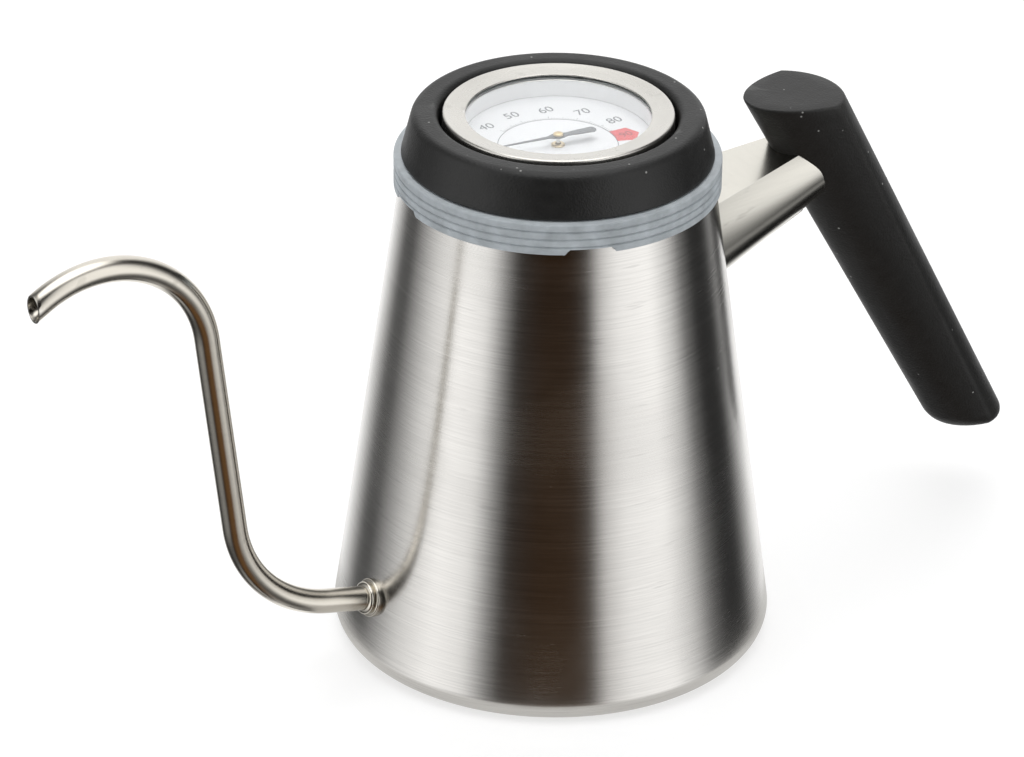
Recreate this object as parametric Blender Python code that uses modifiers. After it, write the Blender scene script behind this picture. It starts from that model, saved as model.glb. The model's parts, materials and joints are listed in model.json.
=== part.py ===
"""Gooseneck pour-over kettle with a thermometer in its lid: steel body, thin
curved spout, formed steel bracket, solid grip, and a lift-off lid.

The origin is the centre of the base on the surface it stands on. +Z is up, the
handle points along +X and the spout along -X, and Y = 0 is the plane of symmetry.
"""
from math import asin, atan, atan2, cos, pi, radians, sin, sqrt, tan

import bmesh
import bpy
from mathutils import Matrix, Vector

mm = 0.001

# ---- driving dimensions ----------------------------------------------------

seat_gap = 0.3 * mm          # between pieces that touch or are welded
film_gap = 0.15 * mm         # between the thin pieces packed in the thermometer
body_steps = 40              # facets round the body and the gasket
round_steps = 32             # facets round the lid and the thermometer
small_steps = 14             # facets round a small turned piece

# body
base_radius = 56.5 * mm      # the cone carried down to the standing surface
body_height = 128.0 * mm
body_draft = radians(8.04)   # lean of the wall from upright
body_wall = 0.6 * mm
base_corner_radius = 5.2 * mm
foot_width = 5.0 * mm        # flat standing ring turned in from the corner
rim_radius = base_radius - body_height * tan(body_draft)
base_flange = 0.8 * mm       # step of the base disc that lies over the foot ring

# spout
spout_diameter = 6.2 * mm
spout_wall = 0.5 * mm
spout_root_height = 20.4 * mm
spout_root_rise = radians(13)
spout_root_run = 13.5 * mm   # straight run outside the body wall
spout_entry = 3.5 * mm       # straight run left inside the body
spout_low_bend_radius = 33.5 * mm
spout_riser_lean = radians(7)
spout_riser_length = 54.5 * mm
spout_high_bend_radius = 29.0 * mm
spout_tip_droop = radians(30)
spout_overhang = 91.4 * mm   # from the root to the upright plane of the tip
collar_flange_radius = spout_diameter / 2 + 1.7 * mm
collar_flange_thickness = 1.1 * mm
collar_flange_round = 0.4 * mm
collar_bead_radius = spout_diameter / 2 + 1.0 * mm
collar_bead_length = 1.5 * mm

# grip, by its section at the top face and how each line of it leans
grip_top_height = body_height + 2.7 * mm
grip_foot_height = 21.3 * mm
grip_nose_reach = base_radius + 0.1 * mm
grip_corner_reach = base_radius + 19.3 * mm
grip_crown_reach = base_radius + 26.6 * mm
grip_half_width = 13.1 * mm
grip_nose_lean = 0.5905      # run outwards for each unit down
grip_corner_lean = 0.5305
grip_crown_lean = 0.542
grip_width_taper = 0.0236    # half width lost for each unit down
grip_nose_sweep = radians(80)  # part of the quarter ellipse that is used
grip_top_round = 0.8 * mm
grip_bottom_round = 3.0 * mm

# bracket between body and grip, by its section at one distance from the axis
bracket_station = base_radius - 6.5 * mm
bracket_top_height = body_height - 14.8 * mm
bracket_top_rise = 0.16
bracket_top_half_width = 9.9 * mm
bracket_top_taper = 0.18      # of its flat top, towards the grip
bracket_side_half_width = 11.25 * mm
bracket_width_taper = 0.115
bracket_side_height = body_height - 28.0 * mm
bracket_side_rise = 0.323
bracket_sheet = 1.0 * mm
bracket_inward = 16.0 * mm   # run of its sheet each way before it is cut to fit
bracket_outward = 34.0 * mm
bracket_seam_half_width = 1.5 * mm
strip_half_width = 2.8 * mm
strip_thickness = 0.8 * mm
strip_end_gap = 0.8 * mm     # from its rounded end to the nose of the grip

# joint of bracket and grip
land_depth = 1.0 * mm        # flat on the nose of the grip behind the end plate
land_middle_height = body_height - 20.0 * mm
end_plate_length = 13.0 * mm
end_plate_width = 8.0 * mm
end_plate_thickness = 2.0 * mm
grip_screw_pitch = 7.8 * mm
grip_screw_radius = 1.9 * mm
grip_screw_length = 13.0 * mm
grip_screw_head_radius = 3.3 * mm
grip_screw_head_height = 2.4 * mm
washer_radius = 3.5 * mm
washer_thickness = 0.7 * mm
insert_radius = 2.9 * mm
insert_length = 9.0 * mm

# lid cover
cover_height = body_height + 14.3 * mm
cover_foot_height = body_height + 3.3 * mm
cover_lip_radius = 31.4 * mm
cover_lip_round = 1.9 * mm
cover_edge_radius = rim_radius - 1.92 * mm
cover_edge_round = 2.4 * mm
cover_foot_radius = rim_radius + 0.38 * mm
cover_foot_width = 5.0 * mm   # shelf that the gasket's web is clamped to
cover_foot_thickness = 1.6 * mm
cover_side_wall = 3.2 * mm
cover_wall = 2.2 * mm
cover_floor_top = body_height + 5.3 * mm
cover_floor = 2.0 * mm

# gasket
gasket_radius = rim_radius + 2.08 * mm
gasket_bottom = body_height - 5.0 * mm
gasket_web = 1.4 * mm
gasket_web_radius = 32.6 * mm
gasket_rib_count = 4
gasket_rib_depth = 0.4 * mm
gasket_rib_round = 0.25 * mm
gasket_plug_thickness = 1.0 * mm
gasket_plug_bottom = body_height - 3.6 * mm
gasket_fin_thickness = 0.8 * mm
gasket_fin_reach = 1.4 * mm   # from the side of the plug to the wall of the mouth
gasket_fin_depths = (0.8 * mm, 2.5 * mm)   # of the top of each fin below the rim
vent_angles = (-111, 170, 77, -17)   # degrees round from the handle
vent_width = 11.8 * mm
vent_height = 1.5 * mm

# plate and screws under the lid
lid_plate_thickness = 0.6 * mm
lid_screw_circle = 25.0 * mm
lid_screw_count = 3
lid_screw_radius = 1.3 * mm
lid_screw_length = 3.8 * mm
lid_screw_head_radius = 2.6 * mm
lid_screw_head_height = 1.6 * mm
boss_radius = 3.2 * mm

# thermometer
bezel_radius = 28.6 * mm
bezel_top = body_height + 14.4 * mm
bezel_opening = 22.9 * mm
bezel_drop = 0.7 * mm        # fall of its face from the rim to the opening
bezel_sheet = 0.45 * mm
bezel_round = 0.5 * mm
bezel_crimp = 1.2 * mm       # width turned in under the flange
case_opening = 23.4 * mm
case_wall = 0.6 * mm
case_floor = body_height + 5.6 * mm
case_flange_radius = 27.7 * mm
case_flange_top = body_height + 11.3 * mm
case_flange_thickness = 0.5 * mm
glass_radius = 25.2 * mm
glass_thickness = 1.1 * mm
glass_chamfer = 0.2 * mm
glass_seal_thickness = 0.45 * mm
glass_seal_radius = 26.2 * mm
glass_seal_drop = 0.3 * mm   # of its top edge below the face of the glass
dial_thickness = 0.5 * mm
pivot_offset = 5.4 * mm      # the pointer's axis is off the centre of the dial
pivot_direction = radians(-123)
pointer_height = 2.5 * mm    # above the face of the dial
pointer_tip = 16.6 * mm
pointer_tail = 9.8 * mm
pointer_thickness = 0.3 * mm
pointer_tail_half_width = 1.25 * mm
pointer_rest = radians(173)
shaft_radius = 0.5 * mm
hub_radius = 1.3 * mm
hub_height = 0.6 * mm
bush_radius = 1.7 * mm
bush_stand = 0.5 * mm        # height of the bush above the dial
neck_radius = 4.0 * mm
neck_length = 10.6 * mm
stem_radius = 2.5 * mm
stem_wall = 0.4 * mm
stem_bottom = 35.0 * mm
nut_flats = 12.0 * mm
nut_height = 3.0 * mm
nut_seal_thickness = 1.0 * mm
nut_seal_radius = 7.0 * mm
coil_wire_radius = 0.25 * mm
coil_radius = 1.4 * mm
coil_turns = 7
coil_bottom = 40.0 * mm
coil_length = 20.0 * mm

# ---- sizes that follow from them ---------------------------------------------

draft_slope = tan(body_draft)
corner_centre = (
    base_radius * cos(body_draft) - base_corner_radius * (1 + sin(body_draft))
) / cos(body_draft)
stem_hole = neck_radius + seat_gap
grip_length_down = grip_top_height - grip_foot_height
pivot_x = pivot_offset * cos(pivot_direction)
pivot_y = pivot_offset * sin(pivot_direction)
gasket_web_top = cover_foot_height - seat_gap
gasket_web_bottom = gasket_web_top - gasket_web
lid_plate_top = gasket_web_bottom - seat_gap
lid_plate_bottom = lid_plate_top - lid_plate_thickness
dial_face = case_floor + case_wall + seat_gap + dial_thickness
glass_bottom = case_flange_top + glass_seal_thickness + 2 * film_gap
glass_top = glass_bottom + glass_thickness


def body_radius(height, grow=0.0):
    """Radius of the outside of the wall at a height, grown square to the wall."""
    return base_radius - draft_slope * height + grow / cos(body_draft)


mouth_radius = body_radius(body_height, -body_wall)
plug_outer = mouth_radius - gasket_fin_reach
plug_inner = plug_outer - gasket_plug_thickness
lid_plate_radius = plug_inner - seat_gap


# ---- scene and shape helpers --------------------------------------------------

for old in list(bpy.data.objects):
    bpy.data.objects.remove(old, do_unlink=True)

kettle = bpy.data.collections.new("gooseneck_kettle")
cutters = bpy.data.collections.new("cutters")
bpy.context.scene.collection.children.link(kettle)
bpy.context.scene.collection.children.link(cutters)


def finish(name, colour, roughness, metallic=0.0, transmission=0.0):
    """A plain Principled material."""
    made = bpy.data.materials.new(name)
    made.use_nodes = True
    shader = made.node_tree.nodes["Principled BSDF"]
    shader.inputs["Base Color"].default_value = (*colour, 1)
    shader.inputs["Roughness"].default_value = roughness
    shader.inputs["Metallic"].default_value = metallic
    shader.inputs["Transmission Weight"].default_value = transmission
    return made


brushed_steel = finish("brushed_steel", (0.62, 0.60, 0.57), 0.32, 1.0)
polished_steel = finish("polished_steel", (0.70, 0.68, 0.65), 0.12, 1.0)
satin_steel = finish("satin_steel", (0.66, 0.65, 0.61), 0.38, 1.0)
black_plastic = finish("black_plastic", (0.018, 0.018, 0.017), 0.5)
grey_silicone = finish("grey_silicone", (0.50, 0.55, 0.58), 0.6)
seal_rubber = finish("seal_rubber", (0.20, 0.22, 0.22), 0.7)
clear_glass = finish("clear_glass", (0.95, 0.97, 0.97), 0.03, 0.0, 1.0)
white_enamel = finish("white_enamel", (0.86, 0.87, 0.88), 0.4)
grey_enamel = finish("grey_enamel", (0.22, 0.24, 0.26), 0.45)
brass = finish("brass", (0.70, 0.56, 0.30), 0.3, 1.0)


def new_object(name, mesh, material=None, parent=None, at=(0, 0, 0), turn=None):
    """A visible piece of the kettle, or a cutter when it has no material."""
    made = bpy.data.objects.new(name, mesh)
    made.matrix_basis = Matrix.Translation(Vector(at)) @ (turn or Matrix()).to_4x4()
    if material:
        mesh.materials.append(material)
        kettle.objects.link(made)
    else:
        made.hide_render = True
        made.display_type = "WIRE"
        cutters.objects.link(made)
    if parent:
        made.parent = parent
        made.matrix_parent_inverse = Matrix.Translation(-parent.location)
    return made


def mesh_from(name, fill):
    """A mesh made by a function that fills a bmesh, with its faces turned out."""
    build = bmesh.new()
    fill(build)
    bmesh.ops.recalc_face_normals(build, faces=build.faces[:])
    mesh = bpy.data.meshes.new(name)
    build.to_mesh(mesh)
    build.free()
    mesh.shade_smooth()
    mesh.set_sharp_from_angle(angle=radians(35))
    return mesh


def box(name, size, at=(0, 0, 0), turn=None, material=None, parent=None):
    def fill(build):
        bmesh.ops.create_cube(build, size=1.0)
        bmesh.ops.scale(build, vec=size, verts=build.verts[:])

    return new_object(name, mesh_from(name, fill), material, parent, at, turn)


def cylinder(name, radius, length, at, turn=None, material=None, steps=small_steps,
             parent=None):
    """A cylinder that runs from its own origin up its own Z."""
    def fill(build):
        bmesh.ops.create_cone(build, cap_ends=True, segments=steps, radius1=radius,
                              radius2=radius, depth=length)
        bmesh.ops.translate(build, vec=(0, 0, length / 2), verts=build.verts[:])

    return new_object(name, mesh_from(name, fill), material, parent, at, turn)


def turned(name, profile, material=None, steps=round_steps, closed=True, at=(0, 0, 0),
           turn=None, parent=None):
    """A turned piece from (radius, height) points that run down its outer side.

    A closed profile comes back up an inner side. An open one starts and ends on
    the axis.
    """
    mesh = bpy.data.meshes.new(name)
    points = [(radius, 0, height) for radius, height in profile]
    edges = [(i, i + 1) for i in range(len(points) - 1)]
    if closed:
        edges.append((len(points) - 1, 0))
    mesh.from_pydata(points, edges, [])
    made = new_object(name, mesh, material, parent, at, turn)
    screw = made.modifiers.new("turn", "SCREW")
    screw.axis = "Z"
    screw.angle = 2 * pi
    screw.steps = steps
    screw.render_steps = steps
    screw.use_merge_vertices = True
    screw.merge_threshold = 0.00001
    screw.use_smooth_shade = True
    return made


def arc(centre, radius, start, end, steps):
    """Points along an arc in the plane of a profile, angles in radians."""
    x, z = centre
    turns = [start + (end - start) * i / steps for i in range(steps + 1)]
    return [(x + radius * cos(t), z + radius * sin(t)) for t in turns]


def boolean(target, other, operation="DIFFERENCE"):
    made = target.modifiers.new(other.name, "BOOLEAN")
    made.operation = operation
    made.solver = "EXACT"
    made.object = other
    return made


def axis_frame(direction):
    """Rotation that takes +Z to a direction in the plane of symmetry, +Y kept."""
    x, z = direction
    return Matrix.Rotation(atan2(x, z), 4, "Y")


# ---- body -----------------------------------------------------------------------

def wall_profile(grow, foot=0.0):
    """Outer line of the body from rim to foot, moved square to itself by grow."""
    corner = base_corner_radius + grow
    top = body_height + (5 * mm if grow > 0 else 0)
    line = [(body_radius(top, grow), top)]
    line += arc((corner_centre, base_corner_radius), corner, body_draft, -pi / 2, 5)
    line.append((corner_centre - foot, base_corner_radius - corner))
    return line


def make_body():
    outer = wall_profile(0.0, foot_width)
    inner = wall_profile(-body_wall, foot_width)
    shell = turned("body_shell", outer + inner[::-1], brushed_steel, body_steps)

    low = body_wall + seat_gap
    high = low + base_flange
    inside = base_corner_radius - body_wall
    rim = corner_centre + sqrt(inside ** 2 - (base_corner_radius - low) ** 2) - seat_gap
    foot = corner_centre - foot_width - seat_gap
    disc = [(0, high), (rim, high), (rim, low), (foot, low), (foot, 0), (0, 0)]
    turned("base_disc", disc, brushed_steel, body_steps, closed=False)
    return shell


def body_envelope(name, height):
    """Cutter that fills the body and the seat gap round it up to a height."""
    line = wall_profile(seat_gap)
    line[0] = (body_radius(height, seat_gap), height)
    return turned(name, [(0, height)] + line[:-1] + [(0, line[-2][1])], None, body_steps,
                  closed=False)


# ---- spout ------------------------------------------------------------------------

root_out = Vector((-cos(spout_root_rise), 0, sin(spout_root_rise)))
root_start = Vector((-body_radius(spout_root_height), 0, spout_root_height))


def spout_path():
    """Centre line: straight root, bend up, straight riser, bend over to the tip."""
    heading = pi - spout_root_rise
    points = [root_start - root_out * spout_entry,
              root_start + root_out * spout_root_run]

    def bend(radius, end, steps):
        """Turn from the present heading to another on an arc."""
        nonlocal heading
        side = 1 if end > heading else -1
        middle = points[-1] + side * radius * Vector((-sin(heading), 0, cos(heading)))
        start = heading
        for i in range(1, steps + 1):
            angle = start + (end - start) * i / steps
            across = Vector((-sin(angle), 0, cos(angle)))
            points.append(middle - side * radius * across)
        heading = end

    bend(spout_low_bend_radius, pi / 2 + spout_riser_lean, 9)
    points.append(points[-1] + spout_riser_length * Vector(
        (cos(heading), 0, sin(heading))))
    bend(spout_high_bend_radius, pi + spout_tip_droop, 14)
    points.append(points[-1] + 2 * spout_diameter * Vector(
        (cos(heading), 0, sin(heading))))
    return points


def make_spout(shell):
    curve = bpy.data.curves.new("spout_line", "CURVE")
    curve.dimensions = "3D"
    curve.bevel_depth = spout_diameter / 2
    curve.bevel_resolution = 4
    spline = curve.splines.new("POLY")
    path = spout_path()
    spline.points.add(len(path) - 1)
    for point, place in zip(spline.points, path):
        point.co = (*place, 1)
    guide = bpy.data.objects.new("spout_line", curve)
    cutters.objects.link(guide)
    guide.hide_render = True
    guide.display_type = "WIRE"
    bpy.context.view_layer.update()
    graph = bpy.context.evaluated_depsgraph_get()
    mesh = bpy.data.meshes.new_from_object(guide.evaluated_get(graph))
    bpy.data.objects.remove(guide)
    mesh.materials.clear()
    mesh.shade_smooth()
    tube = new_object("spout_tube", mesh, polished_steel)
    wall = tube.modifiers.new("wall", "SOLIDIFY")
    wall.thickness = spout_wall
    wall.offset = -1
    wall.use_even_offset = True
    beyond = 10 * spout_diameter
    tip = box("spout_tip_cut", (beyond, beyond, 2 * beyond),
              (root_start.x - spout_overhang - beyond / 2, 0, spout_root_height + 2 * beyond))
    boolean(tube, tip)

    turn = axis_frame((root_out.x, root_out.z))
    bore = spout_diameter / 2 + seat_gap
    hole = cylinder("spout_hole", bore, 12 * mm, root_start - root_out * 6 * mm, turn)
    boolean(shell, hole)

    depth = 1.5 * mm             # starts inside the wall, then is cut to fit it
    face = seat_gap + collar_flange_thickness
    top = face + collar_bead_length
    half = collar_bead_length / 2
    bulge = [(collar_bead_radius - half, top)]
    bulge += arc((collar_bead_radius - half, top - half), half, pi / 2, -pi / 4, 4)[1:]
    edge = collar_flange_round
    flange = arc((collar_flange_radius - edge, face - edge), edge, pi / 2, 0, 3)
    rest = [(collar_flange_radius, -depth), (bore, -depth), (bore, top)]
    collar = turned("spout_collar", bulge + flange + rest, polished_steel, 20,
                    at=root_start, turn=turn)
    boolean(collar, body_envelope("collar_seat", body_height))


# ---- grip and bracket -------------------------------------------------------------

def grip_section(drop, grow=0.0, sides=7):
    """Points round the grip at a depth under its top face, nose ellipse first."""
    nose = grip_nose_reach + grip_nose_lean * drop - grow
    corner = grip_corner_reach + grip_corner_lean * drop
    crown = grip_crown_reach + grip_crown_lean * drop + grow
    half = grip_half_width - grip_width_taper * drop + grow
    depth = (corner - nose) / (1 - cos(grip_nose_sweep))
    front = []
    for i in range(-sides, sides + 1):
        angle = grip_nose_sweep * i / sides
        front.append((nose + depth * (1 - cos(angle)), half * sin(angle)))
    width = front[-1][1]
    rise = crown - corner
    bow = (width ** 2 + rise ** 2) / (2 * rise)
    spread = asin(width / bow)
    back = []
    for i in range(1, 6):
        angle = spread * (1 - i / 3)
        back.append((crown - bow + bow * cos(angle), bow * sin(angle)))
    return front + back


def grip_loft(name, grow, material=None):
    """The grip from stacked sections, drawn in where its two ends are rounded."""
    rings = []

    def ring(drop, inset):
        section = grip_section(drop, grow)
        middle = sum(x for x, _ in section) / len(section)
        shrink = 1 - inset / grip_half_width
        height = grip_top_height - drop
        rings.append([(middle + (x - middle) * shrink, y * shrink, height)
                      for x, y in section])

    top, low = grip_top_round, grip_bottom_round
    for i in range(3):
        angle = pi / 2 - pi / 4 * i
        ring(top * (1 - sin(angle)) - grow * (i == 0), top * (1 - cos(angle)))
    for i in range(5):
        angle = pi / 8 * i
        ring(grip_length_down - low * (1 - sin(angle)) + grow * (i == 4),
             low * (1 - cos(angle)))

    def fill(build):
        lines = [[build.verts.new(point) for point in line] for line in rings]
        for above, below in zip(lines, lines[1:]):
            for i in range(len(above)):
                j = (i + 1) % len(above)
                build.faces.new((above[i], above[j], below[j], below[i]))
        build.faces.new(lines[0])
        build.faces.new(lines[-1][::-1])
        bmesh.ops.triangulate(build, faces=build.faces[:])

    return new_object(name, mesh_from(name, fill), material)


nose_run = Vector((grip_nose_lean, 0, -1)).normalized()      # down along the nose
into_grip = Vector((-nose_run.z, 0, nose_run.x))             # square to it
land_drop = grip_top_height - land_middle_height
land_middle = Vector((
    grip_nose_reach + grip_nose_lean * land_drop, 0, land_middle_height
)) + into_grip * land_depth
grip_turn = axis_frame((into_grip.x, into_grip.z))


def make_grip():
    grip = grip_loft("grip", 0.0, black_plastic)
    land_length = end_plate_length + 2 * seat_gap
    land_width = end_plate_width + 2 * seat_gap
    land = box("grip_land", (land_length, land_width, 4 * land_depth),
               land_middle - into_grip * 2 * land_depth, grip_turn)
    boolean(grip, land)

    face = land_middle - into_grip * seat_gap
    plate = box("bracket_end_plate", (end_plate_length, end_plate_width,
                end_plate_thickness), face - into_grip * end_plate_thickness / 2,
                grip_turn, satin_steel)
    tap = grip_screw_radius + seat_gap
    washer_seat = face - into_grip * (end_plate_thickness + seat_gap)
    head_seat = washer_seat - into_grip * (washer_thickness + seat_gap)
    for number, side in ((1, -1), (2, 1)):
        shift = nose_run * side * grip_screw_pitch / 2
        depth = grip_screw_length + 2 * mm
        boolean(plate, cylinder(f"plate_hole_{number}", tap, 8 * mm,
                                face + shift - into_grip * 4 * mm, grip_turn))
        mouth, step = -1 * mm, insert_length + 2 * seat_gap
        bore = [(0, depth), (tap, depth), (tap, step), (insert_radius + seat_gap, step),
                (insert_radius + seat_gap, mouth), (0, mouth)]
        boolean(grip, turned(f"grip_bore_{number}", bore, None, small_steps, closed=False,
                             at=land_middle + shift, turn=grip_turn))
        turned(f"grip_insert_{number}",
               [(insert_radius, insert_length), (insert_radius, 0), (tap, 0),
                (tap, insert_length)], brass, small_steps,
               at=land_middle + shift + into_grip * seat_gap, turn=grip_turn)
        turned(f"grip_washer_{number}",
               [(washer_radius, 0), (washer_radius, -washer_thickness),
                (tap, -washer_thickness), (tap, 0)], polished_steel, small_steps,
               at=washer_seat + shift, turn=grip_turn)
        head = [(0, grip_screw_length), (grip_screw_radius, grip_screw_length),
                (grip_screw_radius, 0), (grip_screw_head_radius, 0),
                (grip_screw_head_radius, -grip_screw_head_height * 0.5),
                (grip_screw_head_radius * 0.7, -grip_screw_head_height),
                (0, -grip_screw_head_height)]
        turned(f"grip_screw_{number}", head, polished_steel, small_steps,
               closed=False, at=head_seat + shift, turn=grip_turn)


def bracket_section(reach, inset=0.0):
    """Half section of the bracket at a distance from the axis: (side, height)."""
    out = reach - bracket_station
    top = bracket_top_height + bracket_top_rise * out - inset
    flat = bracket_top_half_width - bracket_top_taper * out - inset
    side = bracket_side_half_width - bracket_width_taper * out - inset
    middle = bracket_side_height + bracket_side_rise * out
    spread = side - flat
    tall = top - middle
    bow = (spread ** 2 + tall ** 2) / (2 * spread)
    points = [(0, top), (flat * 0.5, top)]
    points += arc((side - bow, middle), bow, asin(tall / bow), 0, 4)
    points += arc((0, middle), side, 0, -pi / 2, 7)[1:]
    return points


def make_bracket():
    first, last = bracket_station - bracket_inward, bracket_station + bracket_outward
    count = 6

    def fill(build):
        lines = []
        for i in range(count):
            reach = first + (last - first) * i / (count - 1)
            half = bracket_section(reach)
            loop = half + [(-y, z) for y, z in half[-2:0:-1]]
            lines.append([build.verts.new((reach, y, z)) for y, z in loop])
        for near, far in zip(lines, lines[1:]):
            for i in range(len(near)):
                j = (i + 1) % len(near)
                build.faces.new((near[i], near[j], far[j], far[i]))

    shell = new_object("bracket_shell", mesh_from("bracket_shell", fill), satin_steel)
    sheet = shell.modifiers.new("sheet", "SOLIDIFY")
    sheet.thickness = bracket_sheet
    sheet.offset = -1
    sheet.use_even_offset = True
    boolean(shell, body_envelope("bracket_body_cut", body_height))
    grip_cut = grip_loft("bracket_grip_cut", seat_gap)
    boolean(shell, grip_cut)

    low = [Vector((reach, 0, bracket_section(reach)[-1][1]))
           for reach in (first, last)]
    along = (low[1] - low[0]).normalized()
    under = Vector((along.z, 0, -along.x))
    slope = axis_frame((-under.x, -under.z))
    seam = box("bracket_seam_cut", (2 * (last - first), 2 * bracket_seam_half_width,
               6 * bracket_sheet), (low[0] + low[1]) / 2, slope)
    boolean(shell, seam)

    strip_top = low[0] + under * seat_gap
    reach = grip_nose_reach + grip_nose_lean * (grip_top_height - low[0].z) - low[0].x
    length = reach / (along.x + grip_nose_lean * along.z) - strip_end_gap

    def outline(build):
        points = [(0, -strip_half_width), (0, strip_half_width)]
        turns = [pi / 2 - pi * i / 8 for i in range(9)]
        end = length - strip_half_width
        points += [(end + strip_half_width * cos(t), strip_half_width * sin(t))
                   for t in turns]
        face = build.faces.new([build.verts.new((x, y, 0)) for x, y in points])
        thick = bmesh.ops.extrude_face_region(build, geom=[face])
        moved = [v for v in thick["geom"] if isinstance(v, bmesh.types.BMVert)]
        bmesh.ops.translate(build, vec=(0, 0, -strip_thickness), verts=moved)

    strip = new_object("bracket_strip", mesh_from("bracket_strip", outline),
                       satin_steel, at=strip_top, turn=slope)
    boolean(strip, body_envelope("strip_body_cut", body_height))


# ---- lid -----------------------------------------------------------------------------

lid_axis = bpy.data.objects.new("lid_axis", None)
lid_axis.location = (0, 0, body_height)
kettle.objects.link(lid_axis)


def round_holes(target, name, radius, low, high, places):
    """Upright holes through a piece, one cutter for each."""
    for number, (x, y) in enumerate(places):
        boolean(target, cylinder(f"{name}_{number}", radius, high - low, (x, y, low)))


def screw_places():
    turns = [2 * pi * i / lid_screw_count + pi / 2 for i in range(lid_screw_count)]
    return [(lid_screw_circle * cos(t), lid_screw_circle * sin(t)) for t in turns]


def make_cover():
    rise = cover_height - cover_foot_height
    lean = atan((cover_foot_radius - cover_edge_radius) / rise)
    edge = (cover_edge_radius - cover_edge_round, cover_height - cover_edge_round)
    well = cover_lip_radius - cover_lip_round
    lip = (cover_lip_radius, cover_height - cover_lip_round)
    ceiling = cover_height - cover_wall
    foot_inner = cover_foot_radius - cover_foot_width
    shelf = cover_foot_height + cover_foot_thickness
    wall_foot = cover_foot_radius - cover_side_wall
    skin = wall_foot - (ceiling - cover_foot_height) * tan(lean)
    well_back = well + 1.6 * mm
    outer = [(cover_lip_radius, cover_height)]
    outer += arc(edge, cover_edge_round, pi / 2, lean, 5)
    outer += [(cover_foot_radius, cover_foot_height), (foot_inner, cover_foot_height),
              (foot_inner, shelf), (wall_foot, shelf), (skin, ceiling),
              (well_back, ceiling),
              (well_back, cover_floor_top - cover_floor),
              (0, cover_floor_top - cover_floor)]
    inner = [(0, cover_floor_top), (well, cover_floor_top)]
    inner += arc(lip, cover_lip_round, pi, pi / 2, 5)[:-1]
    profile = inner + outer
    cover = turned("lid_cover", profile, black_plastic, round_steps, closed=False,
                   parent=lid_axis)
    boss_low = lid_plate_top + seat_gap
    boss_high = cover_floor_top - cover_floor / 2
    for number, (x, y) in enumerate(screw_places()):
        boss = cylinder(f"lid_boss_{number}", boss_radius, boss_high - boss_low,
                        (x, y, boss_low))
        boolean(cover, boss, "UNION")
    round_holes(cover, "lid_boss_bore", lid_screw_radius + seat_gap, boss_low - 1 * mm,
                lid_plate_bottom + lid_screw_length + seat_gap, screw_places())
    round_holes(cover, "lid_neck_hole", stem_hole, boss_low,
                cover_floor_top + 1 * mm, [(pivot_x, pivot_y)])


def make_gasket():
    """Silicone ring: ribbed skirt over the rim, web under the cover, finned plug."""
    pitch = (gasket_web_top - gasket_bottom) / gasket_rib_count
    groove = gasket_radius - gasket_rib_depth
    outer = []
    for rib in range(gasket_rib_count):
        top = gasket_web_top - rib * pitch
        full = gasket_radius - gasket_rib_round * (rib == 0)
        outer += [(full, top - 0.2 * pitch * (rib > 0)),
                  (gasket_radius, top - 0.75 * pitch)]
        if rib < gasket_rib_count - 1:
            outer.append((groove, top - pitch))
    skirt = [(body_radius(gasket_bottom, seat_gap), gasket_bottom),
             (body_radius(body_height, seat_gap), body_height + seat_gap)]
    mouth = -body_wall - seat_gap
    fins = [(plug_outer, body_height + seat_gap)]
    for depth in gasket_fin_depths:
        height = body_height - depth
        reach = body_radius(height, mouth)
        fins += [(plug_outer, height), (reach, height),
                 (plug_outer, height - gasket_fin_thickness)]
    inner = [(plug_outer, gasket_plug_bottom), (plug_inner, gasket_plug_bottom),
             (plug_inner, gasket_web_bottom), (gasket_web_radius, gasket_web_bottom),
             (gasket_web_radius, gasket_web_top)]
    gasket = turned("lid_gasket", outer + skirt + fins + inner, grey_silicone, body_steps,
                    parent=lid_axis)
    reach = 8 * mm
    middle = gasket_radius - reach / 2 + 1.5 * mm
    for number, angle in enumerate(vent_angles):
        turn = Matrix.Rotation(radians(angle), 4, "Z")
        at = turn @ Vector((middle, 0, gasket_bottom))
        boolean(gasket, box(f"vent_{number}", (reach, vent_width, 2 * vent_height),
                            at, turn))


def make_lid_plate():
    bead = 2.0 * mm
    high, low = lid_plate_top, lid_plate_bottom
    inner = lid_screw_circle + lid_screw_head_radius + bead
    profile = [(0, high), (inner, high), (inner + bead, high - bead / 2),
               (inner + 2 * bead, high), (lid_plate_radius, high),
               (lid_plate_radius, low), (inner + 2 * bead, low),
               (inner + bead, low - bead / 2), (inner, low), (0, low)]
    plate = turned("lid_plate", profile, polished_steel, round_steps, closed=False,
                   parent=lid_axis)
    round_holes(plate, "plate_screw_hole", lid_screw_radius + seat_gap,
                low - 2 * mm, high + 2 * mm, screw_places())
    round_holes(plate, "plate_neck_hole", stem_hole, low - 2 * mm, high + 2 * mm,
                [(pivot_x, pivot_y)])
    top = low - seat_gap
    for number, (x, y) in enumerate(screw_places(), 1):
        profile = [(0, lid_screw_length), (lid_screw_radius, lid_screw_length),
                   (lid_screw_radius, 0), (lid_screw_head_radius, 0),
                   (lid_screw_head_radius, -lid_screw_head_height * 0.4),
                   (lid_screw_head_radius * 0.6, -lid_screw_head_height),
                   (0, -lid_screw_head_height)]
        turned(f"lid_screw_{number}", profile, polished_steel, small_steps,
               closed=False, at=(x, y, top), parent=lid_axis)


# ---- thermometer ------------------------------------------------------------------------

pivot_axis = bpy.data.objects.new("pivot_axis", None)
pivot_axis.location = (pivot_x, pivot_y, dial_face)
kettle.objects.link(pivot_axis)


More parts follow.
